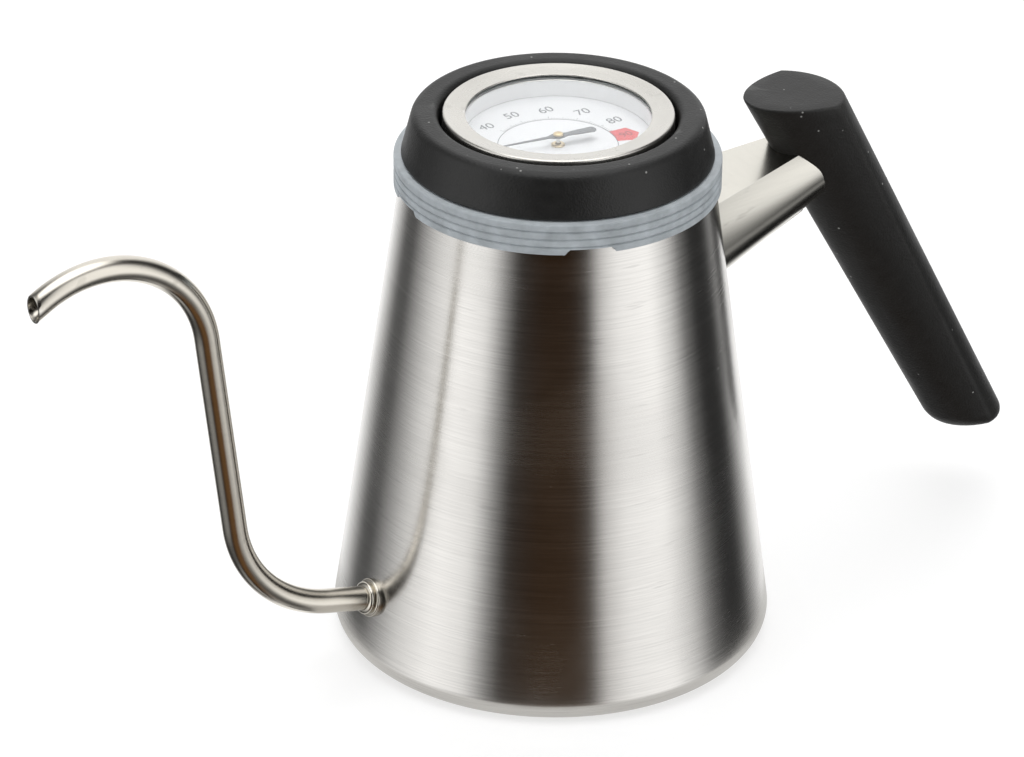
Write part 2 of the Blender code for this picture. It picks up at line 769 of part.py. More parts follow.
def make_case():
    floor_top = case_floor + case_wall
    outer_wall = case_opening + case_wall
    flange_low = case_flange_top - case_flange_thickness
    profile = [(0, floor_top), (case_opening, floor_top),
               (case_opening, case_flange_top), (case_flange_radius, case_flange_top),
               (case_flange_radius, flange_low), (outer_wall, flange_low),
               (outer_wall, case_floor), (0, case_floor)]
    case = turned("thermometer_case", profile, polished_steel, round_steps,
                  closed=False, parent=lid_axis)
    low = case_floor - neck_length
    boolean(case, cylinder("case_neck", neck_radius, neck_length + case_wall / 2,
                           (pivot_x, pivot_y, low)), "UNION")
    round_holes(case, "case_bore", stem_radius + seat_gap, low - 1 * mm,
                floor_top + 1 * mm, [(pivot_x, pivot_y)])

    face = bezel_top - bezel_drop
    lower = flange_low - film_gap
    crimp = lower - bezel_sheet
    skin = [(bezel_opening, face)]
    skin += arc((bezel_radius - bezel_round, bezel_top - bezel_round), bezel_round,
                pi / 2, 0, 3)
    skin += [(bezel_radius, crimp), (case_flange_radius - bezel_crimp, crimp),
             (case_flange_radius - bezel_crimp, lower),
             (bezel_radius - bezel_sheet, lower),
             (bezel_radius - bezel_sheet, bezel_top - bezel_round - bezel_sheet),
             (bezel_opening, face - bezel_sheet)]
    turned("bezel", skin, satin_steel, body_steps, parent=lid_axis)

    top = glass_top
    low = glass_bottom
    turned("dial_glass", [(0, top), (glass_radius - glass_chamfer, top),
                          (glass_radius, top - glass_chamfer), (glass_radius, low), (0, low)],
           clear_glass, round_steps, closed=False, parent=lid_axis)
    seal_low = case_flange_top + film_gap
    seal_top = seal_low + glass_seal_thickness
    inside = glass_radius + film_gap
    turned("glass_seal",
           [(glass_seal_radius, top - glass_seal_drop), (glass_seal_radius, seal_low),
            (case_opening, seal_low), (case_opening, seal_top), (inside, seal_top),
            (inside, top - glass_seal_drop)], seal_rubber, round_steps, parent=lid_axis)

    low = dial_face - dial_thickness
    rim = case_opening - seat_gap
    dial = turned("dial_plate", [(0, dial_face), (rim, dial_face), (rim, low), (0, low)],
                  white_enamel, round_steps, closed=False, parent=lid_axis)
    round_holes(dial, "dial_hole", bush_radius + seat_gap, low - 1 * mm,
                dial_face + 1 * mm, [(pivot_x, pivot_y)])


def make_stem():
    """Stem tube, its nut and seal, the bush at its top and the coil inside it."""
    at = (pivot_x, pivot_y, 0)
    top = case_floor + case_wall
    bore = stem_radius - stem_wall
    closed_end = arc((stem_radius - 1 * mm, stem_bottom + 1 * mm), 1 * mm, 0, -pi / 2, 3)
    tube = [(stem_radius, top)] + closed_end
    tube += [(0, stem_bottom), (0, stem_bottom + stem_wall), (bore, stem_bottom + stem_wall),
             (bore, top)]
    turned("stem_tube", tube, polished_steel, small_steps, at=at, parent=lid_axis)

    seal_top = lid_plate_bottom - seat_gap
    seal_low = seal_top - nut_seal_thickness
    turned("nut_seal", [(nut_seal_radius, seal_top), (nut_seal_radius, seal_low),
                        (stem_hole, seal_low), (stem_hole, seal_top)],
           grey_silicone, small_steps, at=at, parent=lid_axis)
    nut_top = seal_low - seat_gap
    nut_radius = nut_flats / 2 / cos(pi / 6)
    nut = cylinder("stem_nut", nut_radius, nut_height, (*at[:2], nut_top - nut_height),
                   None, polished_steel, 6, lid_axis)
    round_holes(nut, "nut_bore", stem_hole, nut_top - nut_height - 1 * mm,
                nut_top + 1 * mm, [at[:2]])

    guide = shaft_radius + seat_gap
    bush_top = dial_face + bush_stand
    shoulder = dial_face - dial_thickness - seat_gap
    turned("shaft_bush",
           [(bush_radius, bush_top), (bush_radius, shoulder - 4 * mm),
            (guide, shoulder - 4 * mm), (guide, bush_top)],
           brass, small_steps, at=at, parent=lid_axis)

    curve = bpy.data.curves.new("coil_line", "CURVE")
    curve.dimensions = "3D"
    curve.bevel_depth = coil_wire_radius
    curve.bevel_resolution = 1
    curve.use_fill_caps = True
    spline = curve.splines.new("POLY")
    each = 8
    count = coil_turns * each + 1
    spline.points.add(count - 1)
    for i, point in enumerate(spline.points):
        angle = 2 * pi * i / each
        height = coil_bottom + coil_length * i / (count - 1)
        point.co = (pivot_x + coil_radius * cos(angle),
                    pivot_y + coil_radius * sin(angle), height, 1)
    curve.materials.append(brass)
    coil = bpy.data.objects.new("bimetal_coil", curve)
    kettle.objects.link(coil)
    coil.parent = lid_axis
    coil.matrix_parent_inverse = Matrix.Translation(-lid_axis.location)


def make_pointer():
    """Shaft, needle and hub, all with their origin on the axis they turn about."""
    at = (pivot_x, pivot_y, dial_face)
    turn = Matrix.Rotation(pointer_rest, 4, "Z")
    needle_low = pointer_height - pointer_thickness / 2
    shaft_top = needle_low + pointer_thickness + hub_height / 3
    cylinder("pointer_shaft", shaft_radius, shaft_top + dial_face - coil_bottom,
             (pivot_x, pivot_y, coil_bottom), None, grey_enamel, 12, pivot_axis)
    hole = shaft_radius + film_gap

    def fill(build):
        half = pointer_tail_half_width
        eye = hub_radius * 1.25
        points = [(pointer_tip, 0.12 * mm), (eye * 1.6, 0.5 * mm), (eye * 0.9, eye * 0.7),
                  (0, eye), (-eye * 0.9, eye * 0.7), (-eye * 1.2, half * 0.75),
                  (-pointer_tail, half), (-pointer_tail - half * 0.6, 0)]
        loop = points + [(x, -y) for x, y in points[-2::-1]]
        face = build.faces.new([build.verts.new((x, y, needle_low)) for x, y in loop])
        thick = bmesh.ops.extrude_face_region(build, geom=[face])
        moved = [v for v in thick["geom"] if isinstance(v, bmesh.types.BMVert)]
        bmesh.ops.translate(build, vec=(0, 0, pointer_thickness), verts=moved)

    needle = new_object("pointer", mesh_from("pointer", fill), grey_enamel,
                        pivot_axis, at, turn)
    bore = cylinder("pointer_bore", hole, 2 * mm,
                    (pivot_x, pivot_y, dial_face + needle_low - 1 * mm), None, None, 12)
    boolean(needle, bore)
    low = needle_low + pointer_thickness + film_gap
    top = low + hub_height
    socket = shaft_top + film_gap
    turned("pointer_hub",
           [(0, top), (hub_radius * 0.7, top), (hub_radius, top - 0.3 * mm),
            (hub_radius, low), (hole, low), (hole, socket), (0, socket)],
           brass, small_steps, closed=False, at=at, parent=pivot_axis)


body_shell = make_body()
make_spout(body_shell)
make_grip()
make_bracket()
make_cover()
make_gasket()
make_lid_plate()
make_case()
make_stem()
make_pointer()
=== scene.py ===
"""Gooseneck pour-over kettle with a dial thermometer in its lift-off lid.

Metres, +Z up, handle along +X, spout along -X. Each section is one piece or one
group of like pieces of the kettle, with its sizes, mesh, finish and seat.
"""
import json

import bmesh
import bpy
import numpy as np
from mathutils import Matrix, Vector


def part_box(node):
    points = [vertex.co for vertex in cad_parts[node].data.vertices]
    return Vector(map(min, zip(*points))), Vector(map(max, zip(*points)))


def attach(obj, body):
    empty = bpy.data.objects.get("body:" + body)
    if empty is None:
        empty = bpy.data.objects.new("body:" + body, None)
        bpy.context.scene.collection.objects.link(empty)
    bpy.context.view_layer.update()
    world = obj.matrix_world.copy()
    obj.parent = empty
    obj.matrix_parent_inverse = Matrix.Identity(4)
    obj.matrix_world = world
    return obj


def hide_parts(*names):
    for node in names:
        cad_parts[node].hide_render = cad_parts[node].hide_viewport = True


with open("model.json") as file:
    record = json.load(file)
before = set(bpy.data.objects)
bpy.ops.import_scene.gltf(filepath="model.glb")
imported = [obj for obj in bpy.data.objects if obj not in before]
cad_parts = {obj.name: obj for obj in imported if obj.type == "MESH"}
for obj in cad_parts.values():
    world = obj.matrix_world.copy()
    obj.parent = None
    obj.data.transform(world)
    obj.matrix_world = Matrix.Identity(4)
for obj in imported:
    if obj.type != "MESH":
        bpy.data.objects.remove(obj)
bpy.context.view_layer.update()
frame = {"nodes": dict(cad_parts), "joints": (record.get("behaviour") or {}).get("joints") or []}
MM = 0.001

# ---- camera, floor and light -------------------------------------------------
# The stand-in studio: a white table, a white tent overhead and behind, a broad
# soft light on each side, and a dark room behind the camera and beyond the lights.
# The table glows a little, so that shadows on it stay light.

# Turn from square to the kettle's side, rise above level, and a small pan and roll.
CAMERA_TURN = np.radians(33.0)
CAMERA_RISE = np.radians(28.155)
CAMERA_REACH = 1260.4 * MM
CAMERA_AIM = np.array((0.0, 0.0, 67.8 * MM))
CAMERA_PAN = np.radians(0.485)
CAMERA_ROLL = np.radians(0.670)
CAMERA_LENS, SENSOR_WIDTH = 175.8, 36.0
CLIP_START = 0.05

right = np.array((np.cos(CAMERA_TURN), -np.sin(CAMERA_TURN), 0.0))
away = np.array((np.sin(CAMERA_TURN), np.cos(CAMERA_TURN), 0.0))
up = np.array((0.0, 0.0, 1.0))
seen = away * np.cos(CAMERA_RISE) - up * np.sin(CAMERA_RISE)
stand = CAMERA_AIM - seen * CAMERA_REACH
aim = seen * np.cos(CAMERA_PAN) - right * np.sin(CAMERA_PAN)
level = np.cross(aim, up)
level /= np.linalg.norm(level)
head = np.cross(level, aim)
side = level * np.cos(CAMERA_ROLL) + head * np.sin(CAMERA_ROLL)
head = head * np.cos(CAMERA_ROLL) - level * np.sin(CAMERA_ROLL)
camera = bpy.data.cameras.new("camera")
camera.lens = CAMERA_LENS
camera.sensor_width = SENSOR_WIDTH
camera.clip_start = CLIP_START
eye = bpy.data.objects.new("camera", camera)
axes = np.eye(4)
axes[:3, 0], axes[:3, 1], axes[:3, 2], axes[:3, 3] = side, head, -aim, stand
eye.matrix_world = Matrix(axes.tolist())
bpy.context.scene.collection.objects.link(eye)
bpy.context.scene.camera = eye
bpy.context.scene.view_settings.view_transform = "Standard"


def add(tree, kind, values=(), **settings):
    """Adds a shader node; values are its inputs, as numbers or as other sockets."""
    made = tree.nodes.new("ShaderNode" + kind)
    for key, value in settings.items():
        setattr(made, key, value)
    for key, value in dict(values).items():
        if isinstance(value, bpy.types.NodeSocket):
            tree.links.new(value, made.inputs[key])
        else:
            made.inputs[key].default_value = value
    return made


def math(tree, operation, *values, clamp=False):
    """A Math node's result."""
    made = add(tree, "Math", dict(enumerate(values)), operation=operation,
               use_clamp=clamp)
    return made.outputs[0]


def ramp(tree, factor, stops):
    """A colour ramp's result: stops are (place, grey or colour)."""
    made = add(tree, "ValToRGB", {"Fac": factor})
    marks = made.color_ramp.elements
    for i, (place, tone) in enumerate(stops):
        mark = marks[i] if i < 2 else marks.new(place)
        mark.position = place
        tone = tone if isinstance(tone, tuple) else (tone,) * 3
        mark.color = (*tone, 1)
    return made.outputs["Color"]


def mix(tree, factor, first, second, blend_type="MIX"):
    """A colour Mix node's result."""
    made = add(tree, "Mix", {"Factor": factor}, data_type="RGBA",
               blend_type=blend_type)
    for number, value in ((6, first), (7, second)):
        if isinstance(value, bpy.types.NodeSocket):
            tree.links.new(value, made.inputs[number])
        else:
            made.inputs[number].default_value = (*value, 1)
    return made.outputs[2]


world = bpy.data.worlds.new("studio")
world.use_nodes = True
bpy.context.scene.world = world
tree = world.node_tree
toward = add(tree, "TexCoord").outputs["Generated"]
across = add(tree, "VectorMath", {0: toward, 1: tuple(right)}, operation="DOT_PRODUCT")
facing = add(tree, "VectorMath", {0: toward, 1: tuple(-away)}, operation="DOT_PRODUCT")
turned_by = math(tree, "ARCTAN2", across.outputs["Value"], facing.outputs["Value"])
round_room = math(tree, "MULTIPLY_ADD", turned_by, 0.5 / np.pi, 0.5)


def bearing(degrees):
    """Place on the ramp of a bearing from the camera, right of it positive."""
    return 0.5 + degrees / 360


# Brightness round the room: white behind, a light on each side, and dark between.
walls = ramp(tree, round_room, [
    (0.0, 1.25), (bearing(-162), 1.2), (bearing(-148), 0.8), (bearing(-130), 0.12),
    (bearing(-116), 0.10), (bearing(-102), 0.5), (bearing(-86), 1.05), (bearing(-64), 1.5),
    (bearing(-46), 1.25), (bearing(-34), 0.35), (bearing(-26), 0.02),
    (bearing(-8), (0.004, 0.002, 0.001)), (bearing(12), (0.004, 0.002, 0.001)),
    (bearing(22), 0.04), (bearing(30), 0.85), (bearing(42), 1.3), (bearing(66), 1.5),
    (bearing(80), 0.95), (bearing(92), 0.22), (bearing(104), 0.03), (bearing(124), 0.03),
    (bearing(138), 0.5), (bearing(154), 1.2), (1.0, 1.25),
])
# The walls fade low down and again near the top, except behind the kettle.
rise = add(tree, "SeparateXYZ", {"Vector": toward}).outputs["Z"]
climb = math(tree, "MULTIPLY_ADD", rise, 0.5, 0.5)
behind = ramp(tree, round_room, [
    (0.0, 1.0), (bearing(-140), 1.0), (bearing(-115), 0.0), (bearing(115), 0.0),
    (bearing(140), 1.0), (1.0, 1.0)])
fall = ramp(tree, climb, [
    (0.0, 0.55), (0.025, 0.28), (0.07, 0.08), (0.13, 0.09), (0.20, 0.22), (0.27, 0.6),
    (0.35, 1.0), (0.80, 1.0), (0.88, 0.30), (1.0, 0.30)])
lit = mix(tree, behind, fall, (1.0, 1.0, 1.0))
room = mix(tree, 1.0, walls, lit, "MULTIPLY")
# A faint brown glow low down in front.
glow = ramp(tree, round_room, [
    (0.0, 0.0), (bearing(-40), 0.0), (bearing(-5), (0.16, 0.085, 0.035)),
    (bearing(18), (0.16, 0.085, 0.035)), (bearing(45), 0.0), (1.0, 0.0)])
low_down = ramp(tree, climb, [(0.0, 0.0), (0.06, 1.0), (0.25, 1.0), (0.38, 0.0), (1.0, 0.0)])
room = mix(tree, low_down, room, glow, "ADD")
# The top of the tent is brightest, and the camera itself sees plain white.
TENT_TOP = 2.3
overhead = add(tree, "MapRange", {"Value": rise, "From Min": 0.78, "From Max": 0.93},
               interpolation_type="SMOOTHSTEP").outputs["Result"]
room = mix(tree, overhead, room, (TENT_TOP,) * 3)
straight = add(tree, "LightPath").outputs["Is Camera Ray"]
room = mix(tree, straight, room, (1.0, 1.0, 1.0))
tree.links.new(room, tree.nodes["Background"].inputs["Color"])


def make_material(name, **settings):
    """A new material and its tree, with plain values on the Principled sockets."""
    made = bpy.data.materials.new(name)
    made.use_nodes = True
    shader = made.node_tree.nodes["Principled BSDF"]
    for key, value in settings.items():
        value = (*value, 1) if isinstance(value, tuple) else value
        shader.inputs[key.replace("_", " ")].default_value = value
    return made, made.node_tree, shader


FLOOR_HALF, FLOOR_DROP = 3.0, 0.05 * MM
bpy.ops.mesh.primitive_plane_add(size=2 * FLOOR_HALF, location=(0, 0, -FLOOR_DROP))
floor = bpy.context.object
floor.name = "floor"
floor_white = make_material("table_white", Base_Color=(0.5, 0.5, 0.5), Roughness=0.6,
                            Emission_Color=(1.0, 1.0, 1.0), Emission_Strength=0.56)[0]
floor.data.materials.append(floor_white)
floor.visible_glossy = False

# The table near the foot, seen only in the steel's reflections.
MIRRORED_RADIUS, MIRRORED_DROP = 66 * MM, 0.03 * MM
bpy.ops.mesh.primitive_circle_add(vertices=96, radius=MIRRORED_RADIUS, fill_type="NGON",
                                  location=(0, 0, -MIRRORED_DROP))
mirrored = bpy.context.object
mirrored.name = "mirrored_table"
mirrored.data.materials.append(make_material(
    "mirrored_table", Base_Color=(0.1, 0.1, 0.1), Roughness=0.9,
    Emission_Color=(1.0, 0.99, 0.97), Emission_Strength=0.62)[0])
for ray in ("camera", "diffuse", "transmission", "shadow"):
    setattr(mirrored, "visible_" + ray, False)

# ---- body --------------------------------------------------------------------
# Drawn cone of 0.6 mm stainless sheet with a rounded foot, spun and brushed round
# its axis. The spout, the bracket and the base disc are welded on.

BASE_RADIUS = 56.5 * MM
DRAFT = np.radians(8.04)
BODY_HEIGHT = 128.0 * MM
SHEET = 0.6 * MM
CORNER = 5.2 * MM
FOOT = 5.0 * MM
CORNER_CENTRE = (BASE_RADIUS * np.cos(DRAFT) - CORNER * (1 + np.sin(DRAFT))) / np.cos(DRAFT)


def wall_radius(height, grow=0.0):
    """Radius of the cone at a height, moved square to the wall by grow."""
    return BASE_RADIUS - np.tan(DRAFT) * height + grow / np.cos(DRAFT)


def arc(centre, radius, start, end, steps):
    """Points at centre + radius (cos t, sin t), t running evenly in degrees."""
    t = np.radians(np.linspace(start, end, steps + 1))
    return np.stack((centre[0] + radius * np.cos(t), centre[1] + radius * np.sin(t)), 1)


def joined(*parts):
    """One run of points from points and runs of points."""
    return np.concatenate([np.atleast_2d(np.asarray(part, float)) for part in parts])


def solid(name, grid, material, body, nodes=(), closed=False, sharp=32):
    """A closed piece from a grid of points: rows follow each other, each row a ring.

    The last row joins the first when closed, and otherwise both end rings are
    filled from their middles. Equal points are merged and the faces turned out.
    """
    rows, columns = grid.shape[:2]
    points = grid.reshape(-1, 3)
    index = np.arange(rows * columns).reshape(rows, columns)
    if closed:
        index = np.vstack((index, index[:1]))
    ring = np.roll(index, -1, axis=1)
    faces = np.stack((index[:-1], index[1:], ring[1:], ring[:-1]), -1).reshape(-1, 4)
    faces = faces.tolist()
    if not closed:
        points = np.concatenate((points, [grid[0].mean(0), grid[-1].mean(0)]))
        first, last = len(points) - 2, len(points) - 1
        ends = ((index[0], ring[0], first), (ring[-1], index[-1], last))
        for near, far, middle in ends:
            fan = np.stack((near, far, np.full(columns, middle)), -1)
            faces += fan.tolist()
    mesh = bpy.data.meshes.new(name)
    mesh.from_pydata(points.tolist(), [], faces)
    build = bmesh.new()
    build.from_mesh(mesh)
    bmesh.ops.remove_doubles(build, verts=build.verts[:], dist=1e-6)
    bmesh.ops.dissolve_degenerate(build, edges=build.edges[:], dist=1e-7)
    if build.calc_volume(signed=True) < 0:
        bmesh.ops.reverse_faces(build, faces=build.faces[:])
    build.to_mesh(mesh)
    build.free()
    return seat(name, mesh, material, body, nodes, sharp)


def seat(name, mesh, material, body, nodes=(), sharp=32):
    """Gives a mesh its finish, smooth faces with crisp edges and its body, and hides the parts
    it replaces.
    """
    mesh.materials.clear()
    mesh.materials.append(material)
    mesh.shade_smooth()
    mesh.set_sharp_from_angle(angle=np.radians(sharp))
    piece = bpy.data.objects.new(name, mesh)
    bpy.context.scene.collection.objects.link(piece)
    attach(piece, body)
    if nodes:
        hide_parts(*nodes)
    return piece


def spun(profile, steps=192, centre=(0.0, 0.0)):
    """Grid of a profile of (radius, height) points carried round an upright axis."""
    turn = np.linspace(0, 2 * np.pi, steps, endpoint=False)
    radius, height = profile[:, :1], profile[:, 1:]
    x = centre[0] + radius * np.cos(turn)
    y = centre[1] + radius * np.sin(turn)
    return np.stack((x, y, np.broadcast_to(height, x.shape)), -1)


def group(name, inputs, outputs):
    """A new shader node group with float or vector sockets."""
    made = bpy.data.node_groups.new(name, "ShaderNodeTree")
    for key, value in inputs.items():
        kind = "NodeSocketVector" if value is None else "NodeSocketFloat"
        entry = made.interface.new_socket(key, in_out="INPUT", socket_type=kind)
        if value is not None:
            entry.default_value = value
    for key in outputs:
        made.interface.new_socket(key, in_out="OUTPUT", socket_type="NodeSocketFloat")
    start = made.nodes.new("NodeGroupInput")
    end = made.nodes.new("NodeGroupOutput")
    return made, start.outputs, end.inputs


def use(tree, made, **values):
    """The outputs of a group node with its inputs set."""
    return add(tree, "Group", values, node_tree=made).outputs


# Brush lines: noise drawn out along the surface and packed tight across it, with
# a few stronger single scratches.
brush, take, give = group("brush_lines", {"Vector": None, "Along": 30.0, "Across": 2500.0},
                          ("Lines", "Scratches"))
spread = add(brush, "CombineXYZ", {"X": take["Along"], "Y": take["Along"],
                                   "Z": take["Across"]})
place = add(brush, "VectorMath", {0: take["Vector"], 1: spread.outputs[0]},
            operation="MULTIPLY")
fine = add(brush, "TexNoise", {"Vector": place.outputs[0], "Scale": 1.0, "Detail": 5.0,
                               "Roughness": 0.7})
slow = add(brush, "VectorMath", {0: place.outputs[0], 1: (2.2, 2.2, 0.35)},
           operation="MULTIPLY")
single = add(brush, "TexNoise", {"Vector": slow.outputs[0], "Scale": 1.0, "Detail": 2.0})
brush.links.new(fine.outputs["Fac"], give["Lines"])
strong = add(brush, "MapRange", {"Value": single.outputs["Fac"], "From Min": 0.66,
                                 "From Max": 0.74})
brush.links.new(strong.outputs["Result"], give["Scratches"])

# Handling: soft clouds of haze where the piece is touched and wiped.
haze, take, give = group("handling", {"Vector": None, "Scale": 25.0}, ("Mask",))
cloud = add(haze, "TexNoise", {"Vector": take["Vector"], "Scale": take["Scale"],
                               "Detail": 3.0, "Roughness": 0.5, "Distortion": 0.6})
soft = add(haze, "MapRange", {"Value": cloud.outputs["Fac"], "From Min": 0.42,
                              "From Max": 0.68}, interpolation_type="SMOOTHSTEP")
haze.links.new(soft.outputs["Result"], give["Mask"])

# Dust: sparse single specks, one in some of the cells of a cell pattern.
dust, take, give = group("dust", {"Vector": None, "Scale": 500.0, "Amount": 0.12},
                         ("Mask",))
cells = add(dust, "TexVoronoi", {"Vector": take["Vector"], "Scale": take["Scale"]})
chosen = add(dust, "SeparateColor", {"Color": cells.outputs["Color"]})
some = math(dust, "LESS_THAN", chosen.outputs[0], take["Amount"])
spot = add(dust, "MapRange", {"Value": cells.outputs["Distance"], "From Min": 0.22,
                              "From Max": 0.10})
dust.links.new(math(dust, "MULTIPLY", some, spot.outputs["Result"]), give["Mask"])

# Edge wear: the crests of the surface, broken up by noise.
wear, take, give = group("edge_wear", {"Vector": None, "Start": 0.52, "Scale": 300.0},
                         ("Mask",))
crest = add(wear, "NewGeometry").outputs["Pointiness"]
width = math(wear, "ADD", take["Start"], 0.06)
rub = add(wear, "MapRange", {"Value": crest, "From Min": take["Start"],
                             "From Max": width})
patch = add(wear, "TexNoise", {"Vector": take["Vector"], "Scale": take["Scale"],
                               "Detail": 3.0})
broken = math(wear, "MULTIPLY", rub.outputs["Result"], patch.outputs["Fac"])
wear.links.new(broken, give["Mask"])


def steel(name, colour, roughness, along, across, depth, tone=0.10, spread=0.10,
          anisotropic=0.0, rotation=0.0, clouds=25.0):
    """Stainless steel with brush lines in its tone, roughness and relief."""
    made, tree, shader = make_material(name, Metallic=1.0, Anisotropic=anisotropic,
                                       Anisotropic_Rotation=rotation)
    at = add(tree, "TexCoord").outputs["Object"]
    marks = use(tree, brush, Vector=at, Along=along, Across=across)
    touched = use(tree, haze, Vector=at, Scale=clouds)["Mask"]
    worn = use(tree, wear, Vector=at, Start=0.53)["Mask"]
    dark = tuple(value * (1 - tone) for value in colour)
    light = tuple(min(1.0, value * (1 + tone)) for value in colour)
    toned = mix(tree, marks["Lines"], dark, light)
    toned = mix(tree, math(tree, "MULTIPLY", marks["Scratches"], 0.35), toned,
                tuple(value * 0.7 for value in colour))
    toned = mix(tree, math(tree, "MULTIPLY", touched, 0.25), toned,
                tuple(value * 0.93 for value in colour))
    toned = mix(tree, math(tree, "MULTIPLY", worn, 0.5), toned, (0.85, 0.84, 0.82))
    tree.links.new(toned, shader.inputs["Base Color"])
    rough = math(tree, "MULTIPLY_ADD", marks["Lines"], spread, roughness - spread / 2)
    rough = math(tree, "MULTIPLY_ADD", touched, 0.05, rough)
    tree.links.new(rough, shader.inputs["Roughness"])
    bump = add(tree, "Bump", {"Height": marks["Lines"], "Strength": depth,
                              "Distance": 0.02 * MM})
    tree.links.new(bump.outputs[0], shader.inputs["Normal"])
    if anisotropic:
        round_axis = add(tree, "Tangent", direction_type="RADIAL", axis="Z")
        tree.links.new(round_axis.outputs[0], shader.inputs["Tangent"])
    return made


brushed = steel("brushed_steel", (0.67, 0.655, 0.63), 0.23, 40.0, 2600.0, 0.3,
                tone=0.26, anisotropic=0.7, rotation=0.25)
rim = arc((wall_radius(BODY_HEIGHT, -SHEET / 2), BODY_HEIGHT - SHEET / 2), SHEET / 2,
          170, 8, 6)
heights = np.linspace(BODY_HEIGHT - 1 * MM, CORNER * 1.3, 24)
outer_wall = np.stack((wall_radius(heights), heights), 1)
outer_corner = arc((CORNER_CENTRE, CORNER), CORNER, np.degrees(DRAFT), -90, 20)
inner_corner = arc((CORNER_CENTRE, CORNER), CORNER - SHEET, -90, np.degrees(DRAFT), 12)
inner_wall = np.stack((wall_radius(heights[::-1], -SHEET), heights[::-1]), 1)
body_profile = joined(rim, outer_wall, outer_corner, (CORNER_CENTRE - FOOT, 0),
                      (CORNER_CENTRE - FOOT, SHEET), inner_corner, inner_wall)
solid("kettle_body", spun(body_profile, 256), brushed, "kettle", ["body_shell"],
      closed=True)

# Base disc: pressed steel disc, flush inside the foot ring, with one pressed ring.
DISC_RIM, DISC_TOP, DISC_STEP = 51.8 * MM, 1.7 * MM, 0.9 * MM
DISC_EDGE = 0.3 * MM
DISC_FOOT = CORNER_CENTRE - FOOT - DISC_EDGE
PRESSED_RING, PRESSED_DEPTH = 36 * MM, 0.35 * MM
disc_profile = joined((0, DISC_TOP), (DISC_RIM, DISC_TOP), (DISC_RIM, DISC_STEP),
                      (DISC_FOOT, DISC_STEP),
                      arc((DISC_FOOT - DISC_EDGE, DISC_EDGE), DISC_EDGE, 0, -90, 4),
                      (PRESSED_RING + 0.4 * MM, 0),
                      arc((PRESSED_RING, 0.0), PRESSED_DEPTH, 0, 180, 6), (0, 0))
solid("base_plate", spun(disc_profile, 160), brushed, "kettle", ["base_disc"],
      closed=True)

# ---- spout -------------------------------------------------------------------
# Thin stainless tube of 6.2 mm, bent in one plane, polished along its length and
# cut upright at the tip. Its root is welded in the wall behind a turned collar.

SPOUT_RADIUS = 3.1 * MM
SPOUT_WALL = 0.5 * MM
ROOT_HEIGHT = 20.4 * MM
ROOT_RISE = np.radians(13)
ROOT_RUN = 13.5 * MM
ROOT_ENTRY = 3.5 * MM
LOW_BEND = 33.5 * MM
RISER_LEAN = np.radians(7)
RISER = 54.5 * MM
HIGH_BEND = 29.0 * MM
TIP_DROOP = np.radians(30)
TIP_REACH, TIP_RUN = 145.0 * MM, 25 * MM
TIP_EDGE = 0.12 * MM

root = np.array((-wall_radius(ROOT_HEIGHT), ROOT_HEIGHT))
STRETCHES = (  # length of each stretch of the centre line, and the turn it makes
    (ROOT_ENTRY + ROOT_RUN, 0.0),
    (LOW_BEND * (np.pi / 2 - ROOT_RISE - RISER_LEAN), -(np.pi / 2 - ROOT_RISE - RISER_LEAN)),
    (RISER, 0.0),
    (HIGH_BEND * (np.pi / 2 + TIP_DROOP - RISER_LEAN), np.pi / 2 + TIP_DROOP - RISER_LEAN),
    (TIP_RUN, 0.0),
)


def centre_line(step=0.1 * MM):
    """Distances, points and headings along the tube: the heading changes evenly
    over each bend, and the points are the running sum of the steps along it."""
    ends = np.cumsum([0.0] + [length for length, _ in STRETCHES])
    angles = np.pi - ROOT_RISE + np.cumsum([0.0] + [turn for _, turn in STRETCHES])
    along = np.arange(0, ends[-1], step)
    heading = np.interp(along, ends, angles)
    steps = np.stack((np.cos(heading), np.sin(heading)), 1) * step
    start = root - np.array((np.cos(angles[0]), np.sin(angles[0]))) * ROOT_ENTRY
    return along, start + np.cumsum(steps, 0) - steps, heading


line_along, line_points, line_heading = centre_line()


def on_tube(along, turn, radius):
    """Point of the tube at a distance along it and an angle round it."""
    x = np.interp(along, line_along, line_points[:, 0])
    z = np.interp(along, line_along, line_points[:, 1])
    heading = np.interp(along, line_along, line_heading)
    out = radius * np.cos(turn)
    return np.stack((x - np.sin(heading) * out, radius * np.sin(turn) + 0 * along,
                     z + np.cos(heading) * out), -1)


def tube_grid(radius, rows=150, columns=40):
    """Rings along the tube; the end of each lengthwise line is found by halving so
    that it lies in the upright plane of the tip, and its points are spread evenly."""
    turn = np.linspace(0, 2 * np.pi, columns, endpoint=False)
    low = np.full(columns, line_along[-1] - 45 * MM)
    high = np.full(columns, line_along[-1])
    for _ in range(40):
        middle = (low + high) / 2
        past = on_tube(middle, turn, radius)[:, 0] < -TIP_REACH
        low, high = np.where(past, low, middle), np.where(past, middle, high)
    share = np.linspace(0, 1, rows)[:, None]
    return on_tube(share * low, np.broadcast_to(turn, (rows, columns)), radius)


tube_skin = tube_grid(SPOUT_RADIUS)
tube_bore = tube_grid(SPOUT_RADIUS - SPOUT_WALL)[::-1]
lip_outer = tube_grid(SPOUT_RADIUS - TIP_EDGE)[-1:]
lip_inner = tube_grid(SPOUT_RADIUS - SPOUT_WALL + TIP_EDGE)[-1:]
tube_skin[-1] += (TIP_EDGE, 0, 0)
tube_bore[0] += (TIP_EDGE, 0, 0)
tube_rows = np.concatenate((tube_skin, lip_outer, lip_inner, tube_bore))
polished = steel("polished_steel", (0.62, 0.585, 0.52), 0.20, 90.0, 700.0, 0.10,
                 tone=0.08, spread=0.08)
solid("spout", tube_rows, polished, "kettle", ["spout_tube"],
      closed=True)

